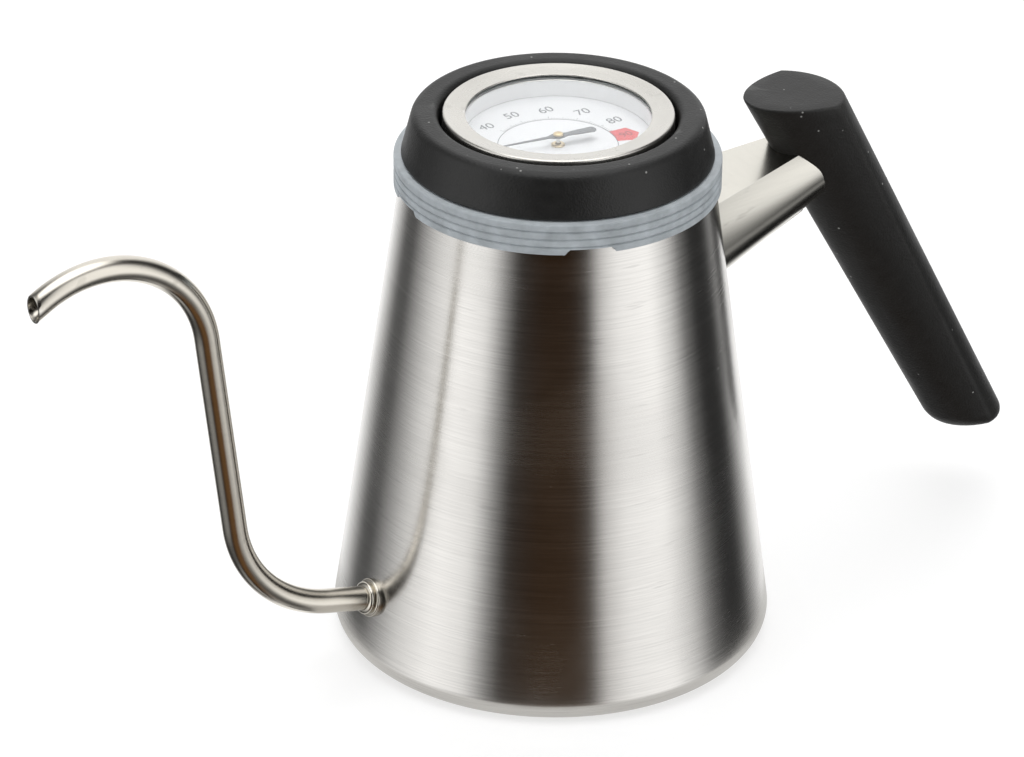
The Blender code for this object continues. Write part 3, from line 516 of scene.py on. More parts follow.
# Collar: turned flange and bead over the joint, welded to the wall round its foot.
COLLAR_SINK, COLLAR_TOP = 0.55 * MM, 3.05 * MM
COLLAR_BORE, COLLAR_FLANGE = SPOUT_RADIUS + 0.02 * MM, 4.9 * MM
collar_profile = joined(
    (COLLAR_BORE, -COLLAR_SINK), (COLLAR_FLANGE, -COLLAR_SINK), (COLLAR_FLANGE, 0.1 * MM),
    arc((4.4 * MM, 0.95 * MM), 0.45 * MM, 0, 90, 6), (3.75 * MM, 1.45 * MM),
    arc((3.45 * MM, 2.2 * MM), 0.72 * MM, -75, 75, 10), (3.2 * MM, COLLAR_TOP),
    (COLLAR_BORE, COLLAR_TOP))
collar_rings = spun(collar_profile, 72)
root_axis = Vector((-np.cos(ROOT_RISE), 0, np.sin(ROOT_RISE)))
lean = np.array(Vector((0, 0, 1)).rotation_difference(root_axis).to_matrix())
collar_rings = collar_rings @ lean.T + np.array((root[0], 0, root[1]))
solid("spout_root_collar", collar_rings, polished, "kettle", ["spout_collar"],
      closed=True)

# ---- grip --------------------------------------------------------------------
# Solid bar of black moulded phenolic, slanted outwards: a rounded nose towards the
# body, a ridge down each side, a flatter crown behind, fine matt texture all over.

GRIP_TOP = 130.7 * MM
GRIP_DOWN = 109.4 * MM
NOSE, NOSE_LEAN = 56.6 * MM, 0.5905
RIDGE, RIDGE_LEAN = 75.8 * MM, 0.5305
CROWN, CROWN_LEAN = 83.1 * MM, 0.542
HALF_WIDTH, WIDTH_TAPER = 13.1 * MM, 0.0236
NOSE_SWEEP = np.radians(80)
TOP_ROUND, FOOT_ROUND = 0.8 * MM, 4.0 * MM


def grip_ring(drop, inset):
    """One level of the grip: an ellipse quarter and its mirror for the nose, and a
    flat arc through both ridges and the crown behind, drawn in by inset."""
    nose, ridge = NOSE + NOSE_LEAN * drop, RIDGE + RIDGE_LEAN * drop
    crown, half = CROWN + CROWN_LEAN * drop, HALF_WIDTH - WIDTH_TAPER * drop
    t = np.linspace(-1, 1, 49) * NOSE_SWEEP
    depth = (ridge - nose) / (1 - np.cos(NOSE_SWEEP))
    front = np.stack((nose + depth * (1 - np.cos(t)), half * np.sin(t)), 1)
    width, rise = front[-1, 1], crown - ridge
    bow = (width ** 2 + rise ** 2) / (2 * rise)
    t = np.linspace(1, -1, 26)[1:-1] * np.arcsin(width / bow)
    back = np.stack((crown - bow + bow * np.cos(t), bow * np.sin(t)), 1)
    ring = np.concatenate((front, back))
    middle = np.array((ring[:, 0].mean(), 0))
    ring = middle + (ring - middle) * (1 - inset / HALF_WIDTH)
    return np.column_stack((ring, np.full(len(ring), GRIP_TOP - drop)))


top_turn = np.radians(np.linspace(90, 0, 5))
foot_turn = np.radians(np.linspace(0, 90, 9))
CORE_INSET = 12.0 * MM       # of the small ring that closes each flat end
grip_rows = [(0.0, CORE_INSET), (0.0, 4.0 * MM)]
grip_rows += [(TOP_ROUND * (1 - np.sin(t)), TOP_ROUND * (1 - np.cos(t))) for t in top_turn]
grip_rows += [(drop, 0.0) for drop in np.linspace(3 * MM, GRIP_DOWN - 5 * MM, 40)]
grip_rows += [(GRIP_DOWN - FOOT_ROUND * (1 - np.sin(t)), FOOT_ROUND * (1 - np.cos(t)))
              for t in foot_turn]
grip_rows += [(GRIP_DOWN, 7.0 * MM), (GRIP_DOWN, CORE_INSET)]
grip_grid = np.stack([grip_ring(drop, inset) for drop, inset in grip_rows])

# Moulded grain: fine even pits with a slower swell, as a relief and a tone.
grain, take, give = group("moulded_grain", {"Vector": None, "Scale": 2600.0},
                          ("Height", "Tone"))
pits = add(grain, "TexVoronoi", {"Vector": take["Vector"], "Scale": take["Scale"]},
           feature="SMOOTH_F1")
swell = add(grain, "TexNoise", {"Vector": take["Vector"],
                                "Scale": math(grain, "MULTIPLY", take["Scale"], 0.16),
                                "Detail": 4.0})
both = math(grain, "MULTIPLY_ADD", swell.outputs["Fac"], 0.6,
            math(grain, "MULTIPLY", pits.outputs["Distance"], 0.7))
grain.links.new(both, give["Height"])
grain.links.new(swell.outputs["Fac"], give["Tone"])


def moulded(name, colour, roughness, scale, depth, specks, worn_tone, spread=0.10,
            specular=0.5):
    """Moulded plastic or silicone: grain, dust, handling haze and rubbed edges."""
    made, tree, shader = make_material(name, Specular_IOR_Level=specular)
    at = add(tree, "TexCoord").outputs["Object"]
    pitted = use(tree, grain, Vector=at, Scale=scale)
    touched = use(tree, haze, Vector=at, Scale=45.0)["Mask"]
    dusty = use(tree, dust, Vector=at, Scale=620.0, Amount=specks)["Mask"]
    worn = use(tree, wear, Vector=at, Start=0.515, Scale=420.0)["Mask"]
    dark = tuple(value * 0.55 for value in colour)
    light = tuple(value * 1.45 for value in colour)
    toned = mix(tree, pitted["Tone"], dark, light)
    toned = mix(tree, worn, toned, worn_tone)
    toned = mix(tree, math(tree, "MULTIPLY", dusty, 0.55), toned, (0.55, 0.55, 0.53))
    tree.links.new(toned, shader.inputs["Base Color"])
    rough = math(tree, "MULTIPLY_ADD", pitted["Tone"], spread, roughness - spread / 2)
    rough = math(tree, "MULTIPLY_ADD", touched, -0.07, rough)
    tree.links.new(rough, shader.inputs["Roughness"])
    bump = add(tree, "Bump", {"Height": pitted["Height"], "Strength": depth,
                              "Distance": 0.12 * MM})
    tree.links.new(bump.outputs[0], shader.inputs["Normal"])
    return made


phenolic = moulded("black_phenolic", (0.0075, 0.0073, 0.0068), 0.52, 2000.0, 0.8, 0.03,
                   (0.06, 0.06, 0.057), specular=0.42)
solid("handle_grip", grip_grid, phenolic, "kettle", ["grip"])

# ---- bracket -----------------------------------------------------------------
# Hollow arm folded from 1 mm satin stainless sheet: flat top, rounded sides, its
# seam underneath behind a thin strip. Welded to the body, screwed to the grip.

STATION = 50.0 * MM           # distance from the axis at which the sizes are given
ARM_SHEET = 1.0 * MM
ARM_TOP, TOP_RISE = 113.2 * MM, 0.16
ARM_FLAT, FLAT_TAPER = 9.9 * MM, 0.18
ARM_HALF, HALF_TAPER = 11.25 * MM, 0.115
ARM_MIDDLE, MIDDLE_RISE = 100.0 * MM, 0.323
ARM_CENTRE, CENTRE_RISE = 106.0 * MM, 0.24
SIDE_SWELL = 0.45 * MM
CREASE, WIDEST = 0.3, 0.6     # shares of the line at the crease and the widest point
WELD_SINK, GRIP_SINK = 0.3 * MM, 0.4 * MM
INSET_BASE = 11 * MM


def arm_line(reach, share):
    """Outside of the arm at a distance from the axis: from the middle of the flat
    top over the crease and the bowed side to the middle of the rounded underside."""
    out = reach - STATION
    top = ARM_TOP + TOP_RISE * out
    flat = ARM_FLAT - FLAT_TAPER * out
    half = ARM_HALF - HALF_TAPER * out
    middle = ARM_MIDDLE + MIDDLE_RISE * out
    spread, tall = half - flat, top - middle
    bow = (spread ** 2 + tall ** 2) / (2 * spread)
    lift = np.arcsin(tall / bow)
    first = np.clip(share / CREASE, 0, 1)
    second = np.clip((share - CREASE) / (WIDEST - CREASE), 0, 1)
    third = np.clip((share - WIDEST) / (1 - WIDEST), 0, 1) * np.pi / 2
    turn = lift * (1 - second)
    side_y = half - bow + bow * np.cos(turn) + SIDE_SWELL * np.sin(np.pi * second)
    side_z = middle + bow * np.sin(turn)
    y = np.where(share < CREASE, flat * first,
                 np.where(share < WIDEST, side_y, half * np.cos(third)))
    z = np.where(share < CREASE, top,
                 np.where(share < WIDEST, side_z, middle - half * np.sin(third)))
    return y, z


def arm_grid(inset, rows=48):
    """Lengthwise lines of the arm, each cut by halving where it meets the cone of
    the body and where it meets the nose of the grip."""
    down = np.linspace(0, 1, 61)
    share = np.concatenate((down, down[::-1][1:-1]))
    hand = np.where(np.arange(len(share)) < len(down), 1.0, -1.0)

    def ends(low, high, outside):
        low, high = np.full(len(share), low), np.full(len(share), high)
        for _ in range(40):
            middle = (low + high) / 2
            y, z = arm_line(middle, share)
            past = outside(middle, y, z)
            low, high = np.where(past, low, middle), np.where(past, middle, high)
        return low

    def off_body(reach, y, z):
        return np.hypot(reach, y) > wall_radius(z, -WELD_SINK)

    def in_grip(reach, y, z):
        drop = GRIP_TOP - z
        half = HALF_WIDTH - WIDTH_TAPER * drop
        nose, ridge = NOSE + NOSE_LEAN * drop, RIDGE + RIDGE_LEAN * drop
        depth = (ridge - nose) / (1 - np.cos(NOSE_SWEEP))
        bent = 1 - np.sqrt(np.clip(1 - (y / half) ** 2, 0, 1))
        return reach > nose + depth * bent + GRIP_SINK

    start, stop = ends(30 * MM, 70 * MM, off_body), ends(50 * MM, 95 * MM, in_grip)
    along = np.linspace(0, 1, rows)[:, None]
    reach = start + (stop - start) * along
    y, z = arm_line(reach, share)
    centre = ARM_CENTRE + CENTRE_RISE * (reach - STATION)
    y = y * (1 - inset / INSET_BASE)
    z = centre + (z - centre) * (1 - inset / INSET_BASE)
    return np.stack((reach, y * hand, z), -1)


satin = steel("satin_steel", (0.66, 0.64, 0.585), 0.22, 60.0, 1500.0, 0.06, tone=0.08,
              spread=0.06, clouds=30.0)
arm = np.concatenate((arm_grid(0.0), arm_grid(ARM_SHEET)[::-1]))
solid("bracket_arm", arm, satin, "kettle", ["bracket_shell"], closed=True)

# Strip: thin flat cover over the seam, its far end rounded.
STRIP_HALF, STRIP_THICK = 2.8 * MM, 0.8 * MM
STRIP_NEAR, STRIP_FAR = 34 * MM, 84 * MM
STRIP_SINK, STRIP_GAP = 0.2 * MM, 0.3 * MM
near_z, far_z = [arm_line(np.array(reach), np.array(1.0))[1]
                 for reach in (STRIP_NEAR, STRIP_FAR)]
strip_rise = float(far_z - near_z) / (STRIP_FAR - STRIP_NEAR)
strip_run = np.array((1.0, 0.0, strip_rise)) / np.hypot(1, strip_rise)
strip_under = np.array((strip_rise, 0.0, -1.0)) / np.hypot(1, strip_rise)
strip_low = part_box("bracket_strip")[0]
strip_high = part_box("bracket_strip")[1]
strip_x = strip_low.x - STRIP_SINK
strip_z = float(near_z) + strip_rise * (strip_x - STRIP_NEAR)
strip_start = np.array((strip_x, 0.0, strip_z)) + strip_under * STRIP_GAP
strip_length = (strip_high.x - strip_low.x) * np.hypot(1, strip_rise) - 0.1 * MM
t = np.radians(np.linspace(90, -90, 25))
nose_end = np.stack((strip_length - STRIP_HALF + STRIP_HALF * np.cos(t),
                     STRIP_HALF * np.sin(t)), 1)
outline = joined((0, -STRIP_HALF), (0, STRIP_HALF), nose_end)
middle = np.array((strip_length / 2, 0))
EDGE = 0.12 * MM
levels = ((0.0, EDGE), (EDGE, 0.0), (STRIP_THICK - EDGE, 0.0), (STRIP_THICK, EDGE))
strip_rows = []
for down, inset in levels:
    drawn = middle + (outline - middle) * (1 - inset / STRIP_HALF)
    strip_rows.append(strip_start + drawn[:, :1] * strip_run
                      + drawn[:, 1:] * np.array((0, 1.0, 0)) + down * strip_under)
solid("bracket_seam_strip", np.stack(strip_rows), satin, "kettle", ["bracket_strip"])

# End plate, screws, washers and threaded inserts: bought steel and brass parts that
# hold the grip to the arm from inside it.
brass_metal = steel("turned_brass", (0.66, 0.50, 0.25), 0.28, 60.0, 900.0, 0.12,
                    tone=0.12)


def refinish(material, *names):
    """Gives carried-over pieces a better material."""
    for name in names:
        frame["nodes"][name].data.materials.clear()
        frame["nodes"][name].data.materials.append(material)


refinish(satin, "bracket_end_plate")
refinish(polished, "grip_screw_1", "grip_screw_2", "grip_washer_1", "grip_washer_2")
refinish(brass_metal, "grip_insert_1", "grip_insert_2")

# ---- lid cover ---------------------------------------------------------------
# Moulded black cap with a flared side, a flat ring on top and a rounded lip that
# drops into the round well the thermometer sits in.

COVER_TOP, COVER_FOOT = 142.3 * MM, 131.3 * MM
LIP_RADIUS, LIP_ROUND = 31.4 * MM, 1.9 * MM
EDGE_RADIUS, EDGE_ROUND = 36.5 * MM, 2.4 * MM
FOOT_RADIUS = 38.8 * MM
WELL_FLOOR, WELL_RADIUS = 133.3 * MM, 29.5 * MM
CAVITY_STEP, CAVITY_TOP, CAVITY_IN = 132.9 * MM, 140.1 * MM, 31.1 * MM
flare = np.degrees(np.arctan((FOOT_RADIUS - EDGE_RADIUS) / (COVER_TOP - COVER_FOOT)))
edge_centre = (EDGE_RADIUS - EDGE_ROUND, COVER_TOP - EDGE_ROUND)
edge = arc(edge_centre, EDGE_ROUND, 90, flare, 14)
foot_round = arc((FOOT_RADIUS - 0.5 * MM, COVER_FOOT + 0.35 * MM), 0.35 * MM, 0, -90, 5)
side_share = np.linspace(0, 1, 14)[1:, None]
cover_side = edge[-1] + (foot_round[0] - edge[-1]) * side_share
lip_centre = (LIP_RADIUS, COVER_TOP - LIP_ROUND)
cover_profile = joined(
    (0, WELL_FLOOR), (26 * MM, WELL_FLOOR), (WELL_RADIUS - 0.3 * MM, WELL_FLOOR),
    (WELL_RADIUS, WELL_FLOOR + 0.3 * MM), (WELL_RADIUS, COVER_TOP - LIP_ROUND - 0.6 * MM),
    arc(lip_centre, LIP_ROUND, 180, 90, 12), (32.4 * MM, COVER_TOP),
    (33.2 * MM, COVER_TOP), edge, cover_side, foot_round,
    (34.0 * MM, COVER_FOOT), (33.8 * MM, COVER_FOOT + 0.2 * MM), (33.8 * MM, CAVITY_STEP),
    (35.4 * MM, CAVITY_STEP), (33.9 * MM, CAVITY_TOP), (CAVITY_IN, CAVITY_TOP),
    (CAVITY_IN, COVER_FOOT), (0, COVER_FOOT))
cap_plastic = moulded("black_cap_plastic", (0.0075, 0.0075, 0.0072), 0.50, 2200.0, 0.8,
                      0.05, (0.07, 0.07, 0.068), specular=0.45)
solid("lid_cap", spun(cover_profile, 224), cap_plastic, "lid", ["lid_cover"])

# ---- gasket ------------------------------------------------------------------
# Blue-grey silicone ring under the cap: four ribs outside, a skirt over the rim
# with four steam notches in its edge, and a plug with two fins in the mouth.

RING_RADIUS = 40.5 * MM
RING_TOP, RING_FOOT = 131.0 * MM, 123.0 * MM
RIBS, RIB_DEPTH = 4, 0.42 * MM
RING_STEPS, SKIN_ROWS, SKIRT_ROWS = 420, 78, 10
RIM_GAP = 0.3 * MM
NOTCHES = (-111, 170, 77, -17)     # degrees round the axis
NOTCH_HALF, NOTCH_SLANT, NOTCH_RISE = 8.7, 0.9, 1.5 * MM
PLUG_OUTER = wall_radius(BODY_HEIGHT, -SHEET) - 1.4 * MM
PLUG_INNER = PLUG_OUTER - 1.0 * MM
PLUG_FOOT, PLUG_EDGE = 124.4 * MM, 0.2 * MM
SEAT_LEVEL, SEAT_RADIUS = 129.6 * MM, 32.6 * MM


def rib_radius(height):
    """Outside of the ring: its full radius less a rounded groove between ribs and a
    soft shoulder at the top and foot edges."""
    pitch = (RING_TOP - RING_FOOT) / RIBS
    place = (RING_TOP - height) / pitch
    inner_joint = (place > 0.5) & (place < RIBS - 0.5)
    off = np.abs(place - np.round(place)) * pitch
    groove = RIB_DEPTH * np.exp(-(off / (0.26 * MM)) ** 2) * inner_joint
    ends = np.minimum(RING_TOP - height, height - RING_FOOT)
    shoulder = 0.3 * MM * np.clip(1 - ends / (0.35 * MM), 0, 1) ** 2
    return RING_RADIUS - groove - shoulder


skin_z = np.linspace(RING_TOP, RING_FOOT, SKIN_ROWS)
skirt_z = np.linspace(RING_FOOT, BODY_HEIGHT - RIM_GAP, SKIRT_ROWS)
ring_outer = np.stack((rib_radius(skin_z), skin_z), 1)
ring_skirt = np.stack((wall_radius(skirt_z, RIM_GAP), skirt_z), 1)
ring_plug = [(wall_radius(BODY_HEIGHT, RIM_GAP), BODY_HEIGHT + RIM_GAP),
             (PLUG_OUTER, BODY_HEIGHT + RIM_GAP)]
for below in (0.8 * MM, 2.5 * MM):
    height = BODY_HEIGHT - below
    tip = wall_radius(height, -0.9 * MM)
    ring_plug += [(PLUG_OUTER, height), (tip - 0.2 * MM, height + 0.05 * MM),
                  (tip, height - 0.15 * MM), (tip - 0.15 * MM, height - 0.3 * MM),
                  (PLUG_OUTER, height - 0.8 * MM)]
ring_inside = joined(
    ring_plug, (PLUG_OUTER, PLUG_FOOT + PLUG_EDGE), (PLUG_OUTER - PLUG_EDGE, PLUG_FOOT),
    (PLUG_INNER + PLUG_EDGE, PLUG_FOOT), (PLUG_INNER, PLUG_FOOT + PLUG_EDGE),
    (PLUG_INNER, SEAT_LEVEL), (SEAT_RADIUS, SEAT_LEVEL), (SEAT_RADIUS, RING_TOP))
ring_grid = spun(joined(ring_outer, ring_skirt, ring_inside), RING_STEPS)
turn = np.degrees(np.linspace(0, 2 * np.pi, RING_STEPS, endpoint=False))
lift = np.full(RING_STEPS, RING_FOOT)
for middle in NOTCHES:
    off = np.abs((turn - middle + 180) % 360 - 180)
    rise = np.clip((NOTCH_HALF - off) / NOTCH_SLANT, 0, 1) * NOTCH_RISE
    lift = np.maximum(lift, RING_FOOT + rise)
ring_z = ring_grid[..., 2]
rows = np.arange(len(ring_grid))[:, None]
low = ring_z < lift
on_skin = low & (rows < SKIN_ROWS)
on_skirt = low & (rows >= SKIN_ROWS) & (rows < SKIN_ROWS + SKIRT_ROWS)
new_radius = np.where(on_skin, rib_radius(lift), wall_radius(lift, RIM_GAP))
old_radius = np.hypot(ring_grid[..., 0], ring_grid[..., 1])
scale = np.where(on_skin | on_skirt, new_radius / old_radius, 1.0)
ring_grid[..., :2] *= scale[..., None]
ring_grid[..., 2] = np.where(on_skin | on_skirt, lift, ring_z)
silicone = moulded("grey_silicone", (0.385, 0.42, 0.445), 0.5, 1500.0, 0.12, 0.015,
                   (0.52, 0.56, 0.585), specular=0.4, spread=0.12)
solid("lid_ring", ring_grid, silicone, "lid", ["lid_gasket"],
      closed=True, sharp=50)

# ---- plate under the lid -----------------------------------------------------
# Pressed steel plate with a ring bead that clamps the gasket, held by screws, with
# the thermometer's nut and washer at the stem.

PLATE_TOP, PLATE_LOW = 129.3 * MM, 128.7 * MM
PLATE_RIM = PLUG_INNER - 0.3 * MM
BEAD_IN, BEAD_WIDTH, BEAD_DEPTH = 29.6 * MM, 4 * MM, 1 * MM


def beaded(height):
    """Level of the plate with its bead pressed down: a squared sine across it."""
    radius = np.linspace(BEAD_IN, BEAD_IN + BEAD_WIDTH, 15)
    fall = BEAD_DEPTH * np.sin(np.pi * (radius - BEAD_IN) / BEAD_WIDTH) ** 2
    return np.stack((radius, height - fall), 1)


plate_profile = joined((0, PLATE_TOP), (12 * MM, PLATE_TOP), beaded(PLATE_TOP),
                       (PLATE_RIM, PLATE_TOP), (PLATE_RIM, PLATE_LOW),
                       beaded(PLATE_LOW)[::-1], (12 * MM, PLATE_LOW), (0, PLATE_LOW))
solid("lid_under_plate", spun(plate_profile, 160), satin, "lid", ["lid_plate"])
refinish(polished, "lid_screw_1", "lid_screw_2", "lid_screw_3", "stem_nut")

# ---- thermometer case, bezel and glass ---------------------------------------
# Steel cup with a threaded neck; a formed satin bezel is crimped round its flange
# and holds a flat glass on a rubber seal.

PIVOT = np.array(frame["joints"][1]["pos_m"][:2])
CUP_FLOOR, CUP_INSIDE, CUP_RADIUS = 133.6 * MM, 134.2 * MM, 23.4 * MM
FLANGE_TOP, FLANGE_LOW, FLANGE_RIM = 139.3 * MM, 138.8 * MM, 27.7 * MM
cup_profile = joined(
    (0, CUP_INSIDE), (CUP_RADIUS - 0.5 * MM, CUP_INSIDE),
    arc((CUP_RADIUS - 0.5 * MM, CUP_INSIDE + 0.5 * MM), 0.5 * MM, -90, 0, 5),
    (CUP_RADIUS, FLANGE_TOP - 0.2 * MM), (CUP_RADIUS + 0.2 * MM, FLANGE_TOP),
    (FLANGE_RIM, FLANGE_TOP), (FLANGE_RIM, FLANGE_LOW), (24.2 * MM, FLANGE_LOW),
    (24.0 * MM, FLANGE_LOW - 0.2 * MM),
    arc((23.0 * MM, CUP_FLOOR + 1.0 * MM), 1.0 * MM, 0, -90, 6), (0, CUP_FLOOR))
bright = steel("bright_steel", (0.78, 0.77, 0.74), 0.14, 120.0, 900.0, 0.06, tone=0.05,
               spread=0.06)
solid("thermometer_cup", spun(cup_profile, 160), bright, "lid", ["thermometer_case"])

# Neck: rings at the pitch of the thread stand for the thread.
NECK_RADIUS, NECK_TOP, NECK_FOOT = 4.0 * MM, 133.8 * MM, 123 * MM
THREAD_TOP, THREAD_FOOT = 131.5 * MM, 123.4 * MM
PITCH, THREAD_DEPTH = 1 * MM, 0.28 * MM
thread_z = np.linspace(THREAD_TOP, THREAD_FOOT, 82)
thread_cut = THREAD_DEPTH * np.abs(2 * ((thread_z / PITCH) % 1) - 1)
thread = np.stack((NECK_RADIUS - thread_cut, thread_z), 1)
neck_profile = joined((0, NECK_TOP), (NECK_RADIUS, NECK_TOP), thread,
                      (NECK_RADIUS - 0.4 * MM, NECK_FOOT), (0, NECK_FOOT))
solid("thermometer_neck", spun(neck_profile, 64, PIVOT), polished, "lid", ())

# Bezel: rolled ring with a dished top, turned in over the glass and under the flange.
BEZEL_RADIUS, BEZEL_TOP, BEZEL_ROUND = 28.6 * MM, 142.4 * MM, 0.7 * MM
OPENING, DISH, BEZEL_LIP = 22.9 * MM, 0.7 * MM, 0.22 * MM
BEZEL_INSIDE, CRIMP_IN = 28.15 * MM, 26.5 * MM
CRIMP_TOP, CRIMP_LOW = 138.65 * MM, 138.2 * MM
bezel_skin = arc((BEZEL_RADIUS - BEZEL_ROUND, BEZEL_TOP - BEZEL_ROUND), BEZEL_ROUND, 0, 90, 8)
inner_lip = arc((OPENING + BEZEL_LIP, BEZEL_TOP - DISH - BEZEL_LIP), BEZEL_LIP, 95, 265, 8)
dish_share = np.linspace(0, 1, 14)[1:-1, None]
dish = bezel_skin[-1] + (inner_lip[0] - bezel_skin[-1]) * dish_share
dish[:, 1] -= 0.10 * MM * np.sin(np.pi * dish_share[:, 0])
bezel_profile = joined(
    (BEZEL_RADIUS, 138.5 * MM), bezel_skin, dish, inner_lip,
    (26.6 * MM, 141.4 * MM), (BEZEL_INSIDE, 141.3 * MM), (BEZEL_INSIDE, CRIMP_TOP),
    (CRIMP_IN, CRIMP_TOP), (CRIMP_IN, CRIMP_LOW), (BEZEL_RADIUS - 0.3 * MM, CRIMP_LOW))
ring_satin = steel("bezel_satin", (0.60, 0.585, 0.55), 0.27, 70.0, 1400.0, 0.2,
                   tone=0.12, anisotropic=0.6, rotation=0.25, clouds=60.0)
solid("thermometer_bezel", spun(bezel_profile, 224), ring_satin, "lid", ["bezel"],
      closed=True)

seal_material = moulded("seal_rubber", (0.16, 0.18, 0.18), 0.6, 1500.0, 0.1, 0.01,
                        (0.22, 0.24, 0.24))
SEAL_RIM, SEAL_STEP, SEAL_IN = 26.2 * MM, 25.35 * MM, 23.5 * MM
SEAL_TOP, SEAL_SEAT, SEAL_LOW = 140.85 * MM, 139.9 * MM, 139.45 * MM
seal_profile = joined((SEAL_RIM, SEAL_TOP), (SEAL_RIM, SEAL_LOW), (SEAL_IN, SEAL_LOW),
                      (SEAL_IN - 0.1 * MM, SEAL_LOW + 0.15 * MM), (SEAL_IN, SEAL_SEAT),
                      (SEAL_STEP, SEAL_SEAT), (SEAL_STEP, SEAL_TOP))
solid("glass_gasket", spun(seal_profile, 128), seal_material, "lid", ["glass_seal"],
      closed=True)

# Clear glass: faint wiping haze and dust in its roughness; light falls straight
# through it on to the dial.
glass, tree, shader = make_material("clear_glass", Base_Color=(0.99, 0.995, 0.995),
                                    Transmission_Weight=1.0, IOR=1.45)
at = add(tree, "TexCoord").outputs["Object"]
wiped = use(tree, haze, Vector=at, Scale=60.0)["Mask"]
dusty = use(tree, dust, Vector=at, Scale=380.0, Amount=0.02)["Mask"]
rough = math(tree, "MULTIPLY_ADD", wiped, 0.012, 0.004)
rough = math(tree, "MULTIPLY_ADD", dusty, 0.3, rough)
tree.links.new(rough, shader.inputs["Roughness"])
shadow = add(tree, "LightPath").outputs["Is Shadow Ray"]
open_way = add(tree, "BsdfTransparent")
both = add(tree, "MixShader", {0: shadow, 1: shader.outputs[0], 2: open_way.outputs[0]})
tree.links.new(both.outputs[0], tree.nodes["Material Output"].inputs["Surface"])
GLASS_RADIUS, GLASS_TOP, GLASS_LOW = 25.2 * MM, 141.15 * MM, 140.05 * MM
glass_profile = joined(
    (0, GLASS_TOP), (GLASS_RADIUS - 0.2 * MM, GLASS_TOP),
    (GLASS_RADIUS, GLASS_TOP - 0.2 * MM), (GLASS_RADIUS, GLASS_LOW + 0.15 * MM),
    (GLASS_RADIUS - 0.15 * MM, GLASS_LOW), (0, GLASS_LOW))
solid("thermometer_glass", spun(glass_profile, 128), glass, "lid", ["dial_glass"])

# ---- dial --------------------------------------------------------------------
# White enamelled plate with printed figures, a fine scale arc and a red sector.
# The pointer's axis is off the middle, so the scale is centred on that axis.


def enamel(name, colour, roughness, metallic=0.0):
    """Printed or sprayed enamel: faint orange peel, dust and slight tone changes."""
    made, tree, shader = make_material(name, Metallic=metallic)
    at = add(tree, "TexCoord").outputs["Object"]
    peel = add(tree, "TexNoise", {"Vector": at, "Scale": 900.0, "Detail": 2.0})
    slow = use(tree, haze, Vector=at, Scale=70.0)["Mask"]
    dusty = use(tree, dust, Vector=at, Scale=450.0, Amount=0.02)["Mask"]
    toned = mix(tree, math(tree, "MULTIPLY", slow, 0.3), colour,
                tuple(value * 0.95 for value in colour))
    toned = mix(tree, math(tree, "MULTIPLY", dusty, 0.2), toned, (0.5, 0.5, 0.48))
    tree.links.new(toned, shader.inputs["Base Color"])
    rough = math(tree, "MULTIPLY_ADD", slow, 0.08, roughness)
    tree.links.new(rough, shader.inputs["Roughness"])
    bump = add(tree, "Bump", {"Height": peel.outputs["Fac"], "Strength": 0.05,
                              "Distance": 0.01 * MM})
    tree.links.new(bump.outputs[0], shader.inputs["Normal"])
    return made


DIAL_FACE, DIAL_RIM = 135.0 * MM, 23.1 * MM
DIAL_BACK, DIAL_EDGE = DIAL_FACE - 0.5 * MM, 0.1 * MM
dial_white = enamel("dial_white", (0.80, 0.81, 0.825), 0.45)
# White of the band inside the cup: a painted reflection of the dial, brighter than the dial
# itself.
painted_reflection_white = enamel("painted_reflection_white", (0.93, 0.935, 0.94), 0.5)
dial_profile = joined((0, DIAL_FACE), (DIAL_RIM - DIAL_EDGE, DIAL_FACE),
                      (DIAL_RIM, DIAL_FACE - DIAL_EDGE), (DIAL_RIM, DIAL_BACK), (0, DIAL_BACK))
solid("thermometer_dial", spun(dial_profile, 128), dial_white, "lid", ["dial_plate"])

# Thin white band inside the cup, from the dial up to the flange: a painted reflection of the
# white dial in the polished steel wall of the cup.
REFLECTION_IN, REFLECTION_OUT = DIAL_RIM - 0.02 * MM, 23.36 * MM
REFLECTION_LOW = DIAL_FACE + 0.02 * MM
reflection_band_profile = joined((REFLECTION_IN, REFLECTION_LOW), (REFLECTION_OUT, REFLECTION_LOW), (REFLECTION_OUT, 139.2 * MM),
                       (23.2 * MM, 139.28 * MM), (REFLECTION_IN, 139.1 * MM))
solid("painted_dial_reflection", spun(reflection_band_profile, 128), painted_reflection_white, "lid", (),
      closed=True)

INK = 0.03 * MM
FIRST_MARK, LAST_MARK = 40, 90
FIRST_ANGLE, DEGREE_ANGLE = 118.3, 2.61


def scale_angle(degrees_c):
    """Angle on the dial of a temperature, falling evenly from the first mark."""
    return np.radians(FIRST_ANGLE - DEGREE_ANGLE * (degrees_c - FIRST_MARK))


def faced_out(mesh, merge=False):
    """Turns a mesh's faces outwards, after its equal points are merged if asked."""
    build = bmesh.new()
    build.from_mesh(mesh)
    if merge:
        bmesh.ops.remove_doubles(build, verts=build.verts[:], dist=1e-7)
    bmesh.ops.recalc_face_normals(build, faces=build.faces[:])
    build.to_mesh(mesh)
    build.free()


def inked(name, outlines, material, z=DIAL_FACE):
    """Flat printed marks: each outline of points becomes a thin closed slab."""
    points, faces = [], []
    for line in outlines:
        line = np.asarray(line, float)
        count, start = len(line), len(points)
        for level in (z, z + INK):
            points += np.column_stack((line, np.full(count, level))).tolist()
        low = np.arange(count) + start
        near = np.roll(low, -1)
        faces += [low[::-1].tolist(), (low + count).tolist()]
        faces += np.stack((low, near, near + count, low + count), 1).tolist()
    mesh = bpy.data.meshes.new(name)
    mesh.from_pydata(points, [], faces)
    faced_out(mesh)
    return seat(name, mesh, material, "lid", ())


def polar(radius, angle):
    """Points at a radius and angle about the pointer's axis."""
    return np.stack((PIVOT[0] + radius * np.cos(angle), PIVOT[1] + radius * np.sin(angle)), -1)


